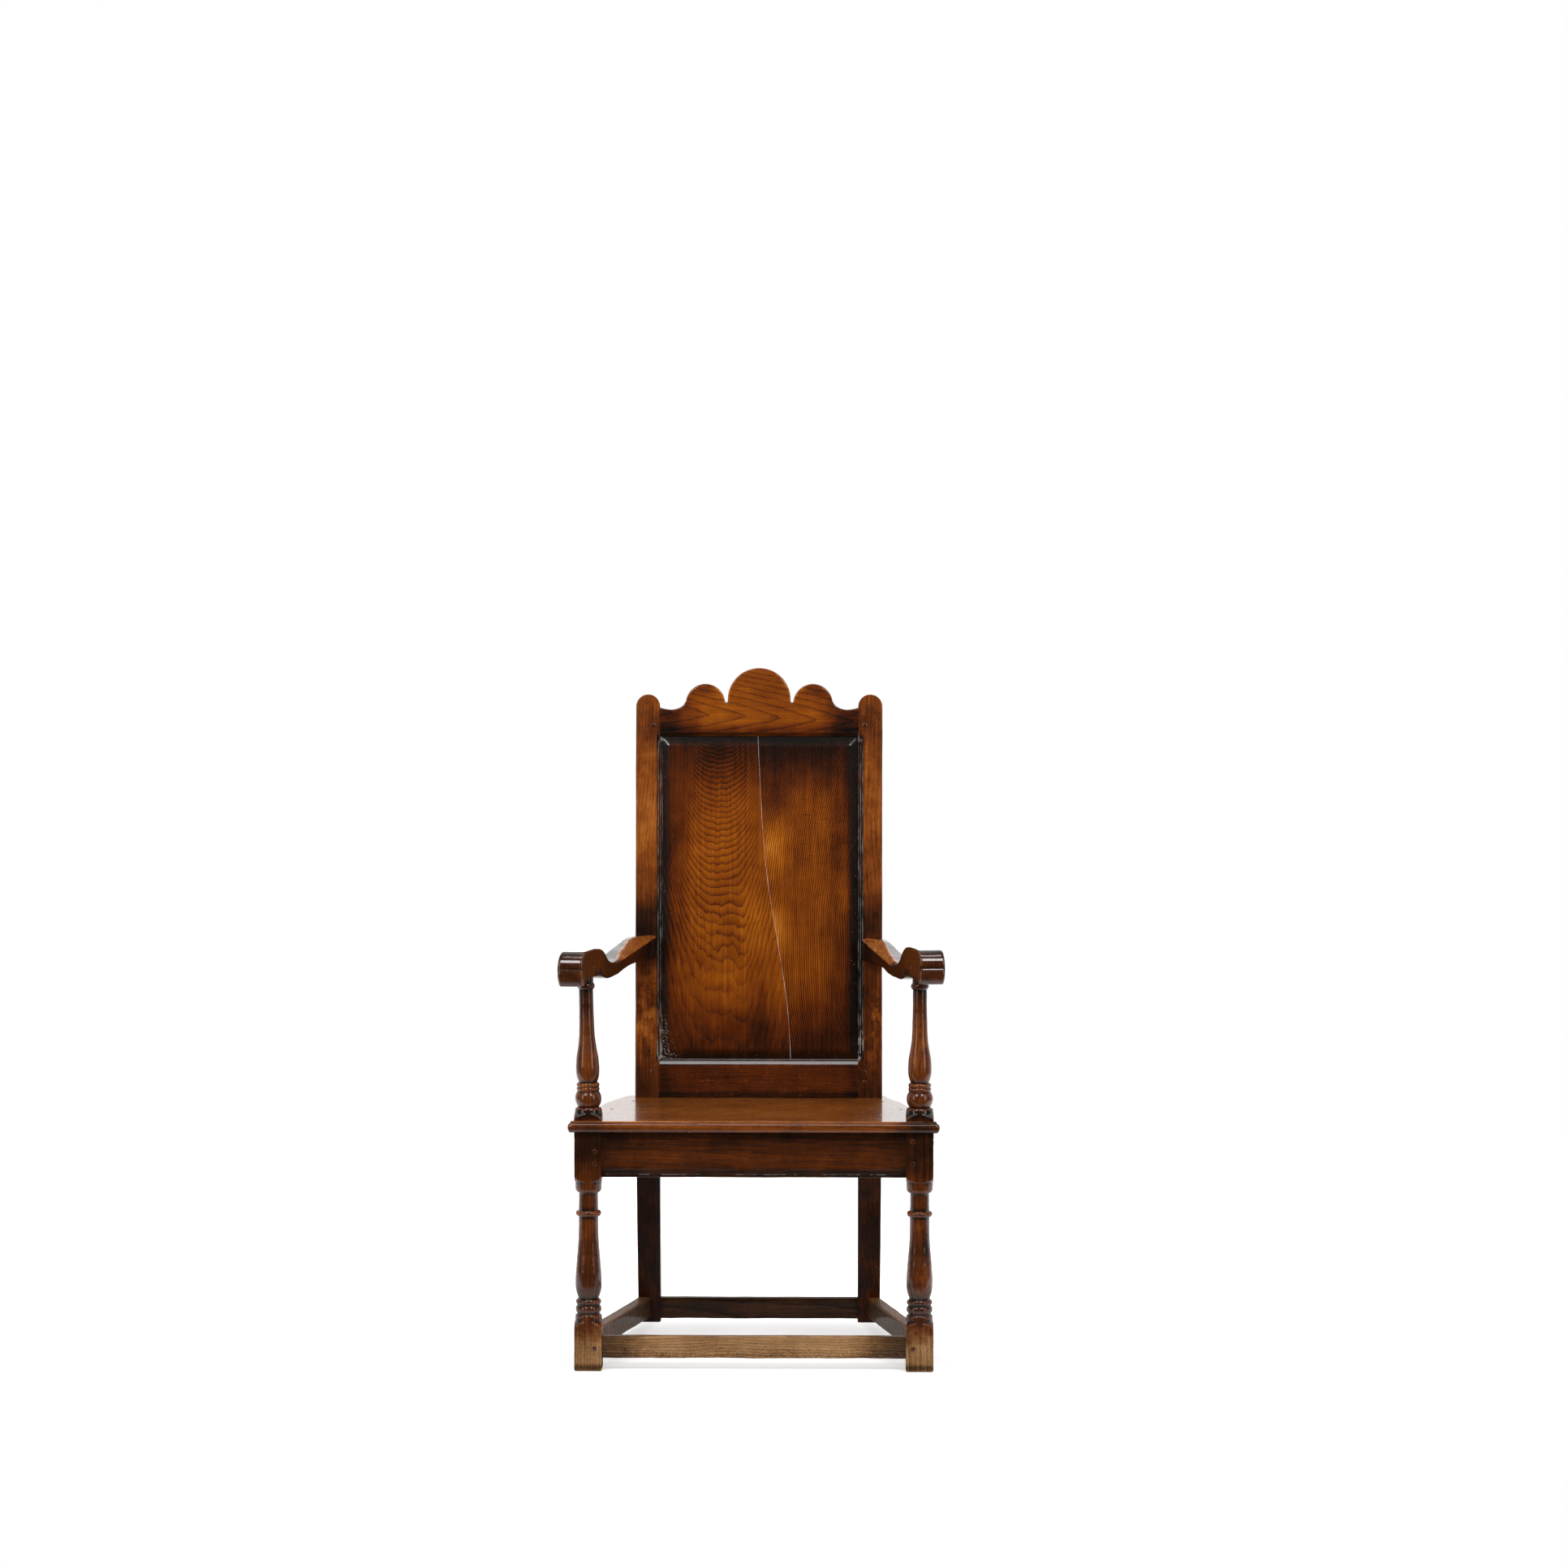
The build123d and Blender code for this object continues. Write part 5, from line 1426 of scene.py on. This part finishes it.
def arm_shade(side):
    """Nearly black at the grip, with a painted sheen on its front; brown along the side and orange where
    the inner slope is worn.
    """
    inner = arm_side_x(side, WEAR_Y)[0]

    def shade(f):
        slope = f.z - (abs(f.x) - inner) * WEAR_ACROSS - (f.y - WEAR_Y) * WEAR_ALONG - ARM_WEAR[side]
        bare = abs(slope).fade(2.4, 0.8) * (f.y + f.cloud(f.x / 9, f.y / 30, 0.0) * 40).fade(176, 215)
        return total(
            bare * (f.cloud(f.x / 5, f.y / 40, 2.0) * 0.5 + 0.52),
            (1.0 - bare) * -0.03,
            f.y.fade(100, 50) * f.y.fade(-40, -24) * -0.07,  # grip
            f.y.fade(-28, -42) * 0.1,  # painted sheen on its front
            f.y.fade(360, 400) * -0.06,
        )

    return shade


# ---- settings --------------------------------------------------------------------------------------


def length_setting(name, description, millimetres, most):
    """A length whose default and highest value are given in millimetres."""
    return bpy.props.FloatProperty(
        name=name, description=description, subtype="DISTANCE", unit="LENGTH", precision=4,
        min=0, max=most / 1000.0, default=millimetres / 1000.0,
    )


def colour_setting(name, description, shown):
    """A colour whose default is given as it shows on screen, 0 to 255."""
    return bpy.props.FloatVectorProperty(
        name=name, description=description, subtype="COLOR", size=3, min=0, max=1, default=linear(shown)
    )


def power_setting(name, description, watts):
    """Power of a lamp."""
    return bpy.props.FloatProperty(name=name, description=description, unit="POWER", min=0, default=watts)


def share_setting(name, description, default, low, high):
    """A plain factor."""
    return bpy.props.FloatProperty(
        name=name, description=description, subtype="FACTOR", min=low, max=high, default=default
    )


class ChairSizes(bpy.types.PropertyGroup):
    """Small sizes that stay inside the joined frame."""

    moulding_width: length_setting("Moulding width", "Moulding on the stiles' inner arrises", 11.3, 20)
    reed_height: length_setting("Reed height", "Height of the three reeds of that moulding", 1.81, 3)
    crack_width: length_setting("Split width", "Gap of the split that runs down the panel", 0.19, 2)
    panel_field: length_setting("Panel field", "How far the field stands before its margin", 4.2, 6)
    panel_bevel: length_setting("Panel bevel", "Width of the bevel round the panel's field", 17.0, 30)
    seat_nosing: length_setting("Seat nosing", "Radius of the seat board's rounded edge", 8.0, 8.5)
    scratch_depth: length_setting("Scratched lines", "Depth of the front rail's two lines", 1.15, 2)
    peg_radius: length_setting("Peg radius", "Radius of the pegs' heads", 4.2, 5)
    peg_height: length_setting("Peg height", "How far the pegs stand proud", 0.8, 1.5)
    arris_wear: share_setting("Arris wear", "Rounding of rails', stiles' and arms' arrises", 1, 0.3, 1.3)
    grip_turn: bpy.props.FloatProperty(
        name="Grip turn", description="Angle by which the grips' fronts turn outwards", subtype="ANGLE",
        unit="ROTATION", min=0, max=radians(12), default=radians(9),
    )


class ChairColours(bpy.types.PropertyGroup):
    """Colours of the woods, each list from dark to pale, and of old wax, whose colour the painted
    highlights share.
    """

    oak_1: colour_setting("Frame wax", "Black wax in the frame's pores and corners", (13, 7, 4))
    oak_2: colour_setting("Frame darkest", "Darkest wood of the frame", (46, 20, 5))
    oak_3: colour_setting("Frame dark", "Dark wood of the frame", (86, 39, 8))
    oak_4: colour_setting("Frame brown", "Middle brown of the frame", (128, 65, 16))
    oak_5: colour_setting("Frame gold", "Rubbed wood of the frame and the seat", (166, 98, 36))
    oak_6: colour_setting("Frame bare", "Bare worn arrises of the frame", (204, 148, 88))
    panel_1: colour_setting("Panel wax", "Black wax in the panel's and crest's pores", (12, 5, 2))
    panel_2: colour_setting("Panel darkest", "Smoked margin of the panel", (52, 19, 2))
    panel_3: colour_setting("Panel dark", "Dark rings of the panel and crest", (92, 38, 2))
    panel_4: colour_setting("Panel brown", "Middle brown of the panel and crest", (128, 63, 3))
    panel_5: colour_setting("Panel gold", "Golden rings of the panel and crest", (164, 90, 9))
    panel_6: colour_setting("Panel bare", "Bare worn wood of the panel and crest", (204, 140, 60))
    dry_1: colour_setting("Dry dirt", "Dirt on the dry feet and stretchers", (22, 14, 8))
    dry_2: colour_setting("Dry darkest", "Darkest dry wood", (52, 35, 19))
    dry_3: colour_setting("Dry dark", "Dark dry wood", (92, 64, 37))
    dry_4: colour_setting("Dry tan", "Middle tan of the dry wood", (132, 96, 60))
    dry_5: colour_setting("Dry pale", "Pale dry wood", (166, 127, 87))
    dry_6: colour_setting("Dry bare", "Palest scuffs of the dry wood", (200, 168, 130))
    # old wax, also the colour of the painted highlights on the stiles' reeds
    wax_and_glint_colour: colour_setting("Old wax", "Wax that has turned white in the margins", (186, 182, 172))


class ChairFinish(bpy.types.PropertyGroup):
    """Tone and gloss of the chair's old polish."""

    tone: share_setting("Tone", "Makes all the oak paler or darker", 0.0, -0.5, 0.5)
    gloss: share_setting("Gloss", "Takes this much off the roughness of the wax polish", 0.0, -0.3, 0.3)


class ChairStage(bpy.types.PropertyGroup):
    """Floor, lamps and camera."""

    lens: bpy.props.FloatProperty(
        name="Lens", description="Focal length of the camera", unit="CAMERA", min=10, max=300,
        default=110.31,
    )
    softbox: power_setting("Softbox power", "Power of each of the two tall side lamps", 26.0)
    high: power_setting("High lamp power", "Power of each of the two lamps high in front", 48.0)
    overhead: power_setting("Overhead power", "Power of the wide lamp overhead", 26.0)
    behind: power_setting("Back lamp power", "Power of the wide soft lamp behind the chair", 14.0)
    ambient: share_setting("Ambient", "Strength of the pale surroundings on the chair", 0.2, 0, 2)
    studio: share_setting("Studio", "How pale the room before the chair looks in its polish", 0.02, 0, 1)
    floor_glow: share_setting("Floor glow", "Light that the white floor adds to its own", 0.5, 0, 1)


# ---- operators -------------------------------------------------------------------------------------


class CHAIR_OT_front_posts(bpy.types.Operator):
    """Add the two turned front posts"""

    bl_idname = "chair.front_posts"
    bl_label = "Front posts"

    def execute(self, context):
        wood = oak(
            "post_oak", "z", slow_rings(5.5, (262, 60), 0.004), post_shade, level=0.39, ring=0.5,
            wear=0.22, blotch=1.5, coat=0.6, coat_roughness=0.15, dry=post_dryness,
            polish=lambda f: f.z.fade(60, 90),
        )
        for seed, side in zip((11, 31), SIDES):
            piece("turned_post_" + side, [post_rows(side, seed)], ["front_post_" + side], wood)
        return {"FINISHED"}


class CHAIR_OT_stiles(bpy.types.Operator):
    """Add the two back stiles, which are the back legs too"""

    bl_idname = "chair.stiles"
    bl_label = "Back stiles"

    def execute(self, context):
        wood = oak(
            "stile_oak", "z", slow_rings(6.0, (120, 520), 0.009), stile_shade, level=0.5, ring=0.3,
            # the white lines along the moulding's reeds are painted highlights
            blotch=1.8, white_wax_and_glints=moulding_glints, polish=lambda f: f.z.fade(400, 440) * 0.95 + 0.05,
        )
        for seed, side in zip((51, 71), SIDES):
            piece("stile_" + side, [stile_rows(side, seed)], ["rear_post_" + side], wood)
        return {"FINISHED"}


class CHAIR_OT_crest(bpy.types.Operator):
    """Add the shaped crest rail"""

    bl_idname = "chair.crest"
    bl_label = "Crest rail"

    def execute(self, context):
        wood = oak(
            "crest_oak", "x", crest_rings, crest_shade, "panel", raked=True, level=0.56, pore=1.3,
            ring=1.2, narrow=6.0,
        )
        piece("crest", [crest_rows()], ["crest_rail"], wood)
        return {"FINISHED"}


class CHAIR_OT_panel(bpy.types.Operator):
    """Add the split panel of the back and the rail below it"""

    bl_idname = "chair.panel"
    bl_label = "Back panel"

    def execute(self, context):
        for side, figure in (("left", straight_rings), ("right", bowl_rings)):
            wood = oak(
                "panel_oak_" + side, "z", figure, panel_shade(side), "panel", raked=True, level=0.63,
                pore=0.7, ring=panel_contrast(side), narrow=3.0, wear=0.1, white_wax_and_glints=margin_wax,
            )
            piece("panel_" + side, [panel_rows(side)], ["back_panel_" + side], wood)
        wood = oak(
            "panel_rail_oak", "x", slow_rings(4.0, (-60, 40), 0.003), panel_rail_shade, "panel",
            raked=True, level=0.29, ring=0.3, wear=0.2, coat=1.0,
        )
        piece("panel_rail", [lower_rail_rows()], ["lower_back_rail"], wood)
        return {"FINISHED"}


class CHAIR_OT_seat(bpy.types.Operator):
    """Add the seat board with its worn nosing"""

    bl_idname = "chair.seat"
    bl_label = "Seat board"

    def execute(self, context):
        wood = oak(
            "seat_oak", "x", slow_rings(9.0, (150, -380), 0.002), seat_shade, level=0.74, ring=0.6,
            wear=-0.15, gloss=0.06, coat_roughness=0.08,
        )
        piece("seat", [seat_rows()], ["seat_board"], wood)
        return {"FINISHED"}


class CHAIR_OT_arms(bpy.types.Operator):
    """Add the two shaped arms"""

    bl_idname = "chair.arms"
    bl_label = "Arms"

    def execute(self, context):
        for seed, side in zip((101, 121), SIDES):
            wood = oak(
                "arm_oak_" + side, "y", slow_rings(5.0, (200, 640), 0.006), arm_shade(side), level=0.2,
                ring=0.3, wear=0.42, coat=1.0, coat_roughness=0.12,
                polish=lambda f: 1.0 - f.y.fade(60, 110) * 0.62,
            )
            rows = arm_rows(side, seed)
            piece("arm_rest_" + side, [rows], ["arm_" + side], wood, wrap=(True, False))
        return {"FINISHED"}


class CHAIR_OT_rails(bpy.types.Operator):
    """Add the seat rails"""

    bl_idname = "chair.rails"
    bl_label = "Seat rails"

    def execute(self, context):
        rings = slow_rings(7.0, (330, 60), 0.006)
        wood = oak(
            "rail_oak", "x", rings, front_rail_shade, level=0.24, ring=0.15, wear=0.25, coat=0.5
        )
        piece("seat_rail_front", [front_rail_rows()], ["front_seat_rail"], wood)
        rows = cross_bar(STILE_INNER, REAR_RAIL_Y, RAIL_Z, RAIL_ARRIS, 141)
        piece("seat_rail_rear", [rows], ["rear_seat_rail"], wood)
        wood = oak(
            "side_rail_oak", "y", rings, lambda f: f.z.near(377, 40) * 0.1, level=0.26, ring=0.3,
            wear=0.25, coat=0.5,
        )
        for seed, side in zip((151, 152), SIDES):
            rows = side_bar(side, SIDE_RAIL_X, RAIL_THICK, RAIL_Z, RAIL_ARRIS, seed)
            piece("seat_rail_" + side, [rows], ["side_seat_rail_" + side], wood)
        return {"FINISHED"}


class CHAIR_OT_stretchers(bpy.types.Operator):
    """Add the four stretchers near the floor"""

    bl_idname = "chair.stretchers"
    bl_label = "Stretchers"

    def execute(self, context):
        rings = slow_rings(4.0, (-20, 60), 0.003)
        dull = {"level": 0.34, "ring": 0.7, "wear": 0.2, "gloss": -0.1, "coat": 0.15}
        wood = oak(
            "stretcher_oak", "x", rings, stretcher_shade,
            dry=lambda f: f.y.fade(40, 30) + f.y.fade(450, 470) * 0.5, **dull,
        )
        rows = cross_bar(POST_X - POST / 2, FRONT_STRETCHER_Y, FRONT_STRETCHER_Z, 2.4, 161, 0.6)
        piece("stretcher_front", [rows], ["front_stretcher"], wood)
        rows = cross_bar(STILE_INNER, REAR_STRETCHER_Y, REAR_STRETCHER_Z, STRETCHER_ARRIS, 171, 0.5)
        piece("stretcher_rear", [rows], ["rear_stretcher"], wood)
        wood = oak(
            "side_stretcher_oak", "y", rings, lambda f: f.z.near(65, 8) * 0.2,
            dry=lambda f: f.noise(30, 60, 30) + 0.7, **dull,
        )
        for seed, side in zip((181, 182), SIDES):
            x, z = SIDE_STRETCHER_X, SIDE_STRETCHER_Z
            rows = side_bar(side, x, STRETCHER_THICK, z, STRETCHER_ARRIS, seed, 0.5)
            piece("stretcher_" + side, [rows], ["side_stretcher_" + side], wood)
        return {"FINISHED"}


class CHAIR_OT_pegs(bpy.types.Operator):
    """Add the heads of the pegs in every joint"""

    bl_idname = "chair.pegs"
    bl_label = "Pegs"

    def execute(self, context):
        wood = oak("peg_oak", "y", slow_rings(3.0), lambda f: f.noise(8, 8, 8) * 0.2, level=0.22)
        for group, heads in peg_places().items():
            grids = [peg_rows(*place, seed) for seed, place in enumerate(heads)]
            piece(group + "_heads", grids, [group], wood)
        return {"FINISHED"}


# ---- floor, light and camera, in metres ------------------------------------------------------------

FLOOR_X = (-2.8, 2.8)
FLOOR_Y = (-1.1, 2.6)
CAMERA_PLACE = (0.1794, -8.5062, 1.589)
CAMERA_TURN = (radians(90 - 3.923), 0.0, radians(0.854))
LAMP_AIM = Vector((0, 0, 0.6))
LAMPS = (  # name, azimuth in degrees, distance, height, size and the setting that holds its power
    ("softbox_left", -50.0, 3.6, 1.5, (0.8, 2.2), "softbox"),
    ("softbox_right", 50.0, 3.6, 1.5, (0.8, 2.2), "softbox"),
    ("high_left", -27.0, 3.2, 2.9, (0.9, 1.1), "high"),
    ("high_right", 27.0, 3.2, 2.9, (0.9, 1.1), "high"),
    ("overhead", 0.0, 0.95, 3.3, (2.0, 0.6), "overhead"),
    ("behind", 180.0, 3.4, 1.6, (2.4, 1.6), "behind"),
)


def rays(tree):
    """Function that gives the share of the rays of one kind."""
    path = tree.nodes.new("ShaderNodeLightPath")
    return lambda kind: Field(tree, path.outputs[f"Is {kind} Ray"])


def floor_paint(stage):
    """White paint that is pure white to the camera where nothing shades it, and fades into the backdrop.

    In front of the chair the floor is dark in mirrored rays, so that it doesn't whiten the polish.
    """
    material = bpy.data.materials.new("floor_paint")
    material.use_nodes = True
    tree = material.node_tree
    shader = tree.nodes["Principled BSDF"]
    shader.inputs["Roughness"].default_value = 0.6
    shader.inputs["Specular IOR Level"].default_value = 0.2
    shader.inputs["Emission Color"].default_value = (1, 1, 1, 1)
    place = tree.nodes.new("ShaderNodeTexCoord")
    x, y, _ = parts_of(tree, place.outputs["Object"])
    ray = rays(tree)
    far = (x * x + y * y * 0.5).fade(0.35, 1.2).most(y.fade(0.1, 0.42))
    seen = ray("Camera").most(ray("Glossy") * y.fade(-0.85, -0.45))
    glow = seen * (far + stage.floor_glow)
    tree.links.new(glow.socket, shader.inputs["Emission Strength"])
    white = ray("Glossy") * y.fade(-0.45, -0.85) * -0.7 + 0.8
    tree.links.new(white.socket, shader.inputs["Base Color"])
    return material


def surroundings(stage):
    """White to the camera, white behind the chair in its polish, and a weak even light on everything."""
    world = bpy.data.worlds.new("surroundings")
    world.use_nodes = True
    tree = world.node_tree
    back = tree.nodes["Background"]
    back.inputs["Color"].default_value = (1, 1, 1, 1)
    direct = tree.nodes.new("ShaderNodeTexCoord")
    _, y, _ = parts_of(tree, direct.outputs["Generated"])
    ray = rays(tree)
    backdrop = y.fade(-0.15, 0.55) * (1.0 - stage.studio) + stage.studio
    strength = ray("Camera").most(ray("Glossy").most(ray("Transmission")) * backdrop)
    strength = strength.most(ray("Diffuse") * stage.ambient)
    tree.links.new(strength.socket, back.inputs["Strength"])
    return world


class CHAIR_OT_stage(bpy.types.Operator):
    """Add the floor, the lamps, the surroundings and the camera"""

    bl_idname = "chair.stage"
    bl_label = "Stage"

    def execute(self, context):
        stage = context.scene.chair_stage
        corners = [(FLOOR_X[i], FLOOR_Y[j], 0) for i, j in ((0, 0), (1, 0), (1, 1), (0, 1))]
        mesh = bpy.data.meshes.new("floor")
        mesh.from_pydata(corners, [], [(0, 1, 2, 3)])
        mesh.materials.append(floor_paint(stage))
        floor = bpy.data.objects.new("floor", mesh)
        context.collection.objects.link(floor)
        for name, azimuth, distance, height, size_xy, setting in LAMPS:
            lamp = bpy.data.lights.new(name, "AREA")
            lamp.shape, lamp.energy = "RECTANGLE", getattr(stage, setting)
            lamp.size, lamp.size_y = size_xy
            turn = radians(azimuth)
            body = bpy.data.objects.new(name, lamp)
            body.location = (distance * sin(turn), -distance * cos(turn), height)
            body.rotation_euler = (LAMP_AIM - body.location).to_track_quat("-Z", "Y").to_euler()
            context.collection.objects.link(body)
        lens = bpy.data.cameras.new("camera")
        lens.lens, lens.sensor_width = stage.lens, 36.0
        camera = bpy.data.objects.new("camera", lens)
        camera.location, camera.rotation_euler = CAMERA_PLACE, CAMERA_TURN
        context.collection.objects.link(camera)
        context.scene.camera = camera
        context.scene.world = surroundings(stage)
        context.scene.view_settings.view_transform = "Standard"
        return {"FINISHED"}


# ---- the add-on ------------------------------------------------------------------------------------

PIECES = (
    CHAIR_OT_front_posts,
    CHAIR_OT_stiles,
    CHAIR_OT_crest,
    CHAIR_OT_panel,
    CHAIR_OT_seat,
    CHAIR_OT_arms,
    CHAIR_OT_rails,
    CHAIR_OT_stretchers,
    CHAIR_OT_pegs,
    CHAIR_OT_stage,
)
SETTINGS = {
    "chair_sizes": ChairSizes,
    "chair_colours": ChairColours,
    "chair_finish": ChairFinish,
    "chair_stage": ChairStage,
}


class CHAIR_PT_panel(bpy.types.Panel):
    """The chair's settings, and its pieces in the order in which they are added"""

    bl_idname = "CHAIR_PT_panel"
    bl_label = "Wainscot chair"
    bl_space_type = "VIEW_3D"
    bl_region_type = "UI"
    bl_category = "Chair"

    def draw(self, context):
        column = self.layout.column()
        for group, settings in SETTINGS.items():
            for name in settings.__annotations__:
                column.prop(getattr(context.scene, group), name)
        for operator in PIECES:
            column.operator(operator.bl_idname)


CLASSES = (*SETTINGS.values(), *PIECES, CHAIR_PT_panel)


def register():
    """Make the settings, the operators and the panel known."""
    for group in CLASSES:
        bpy.utils.register_class(group)
    for name, settings in SETTINGS.items():
        setattr(bpy.types.Scene, name, bpy.props.PointerProperty(type=settings))


def unregister():
    """Take them back."""
    for name in SETTINGS:
        delattr(bpy.types.Scene, name)
    for group in reversed(CLASSES):
        bpy.utils.unregister_class(group)


def main():
    """Make every piece and the stage."""
    register()
    bpy.ops.chair.front_posts()
    bpy.ops.chair.stiles()
    bpy.ops.chair.crest()
    bpy.ops.chair.panel()
    bpy.ops.chair.seat()
    bpy.ops.chair.arms()
    bpy.ops.chair.rails()
    bpy.ops.chair.stretchers()
    bpy.ops.chair.pegs()
    bpy.ops.chair.stage()


if __name__ == "__main__":
    main()
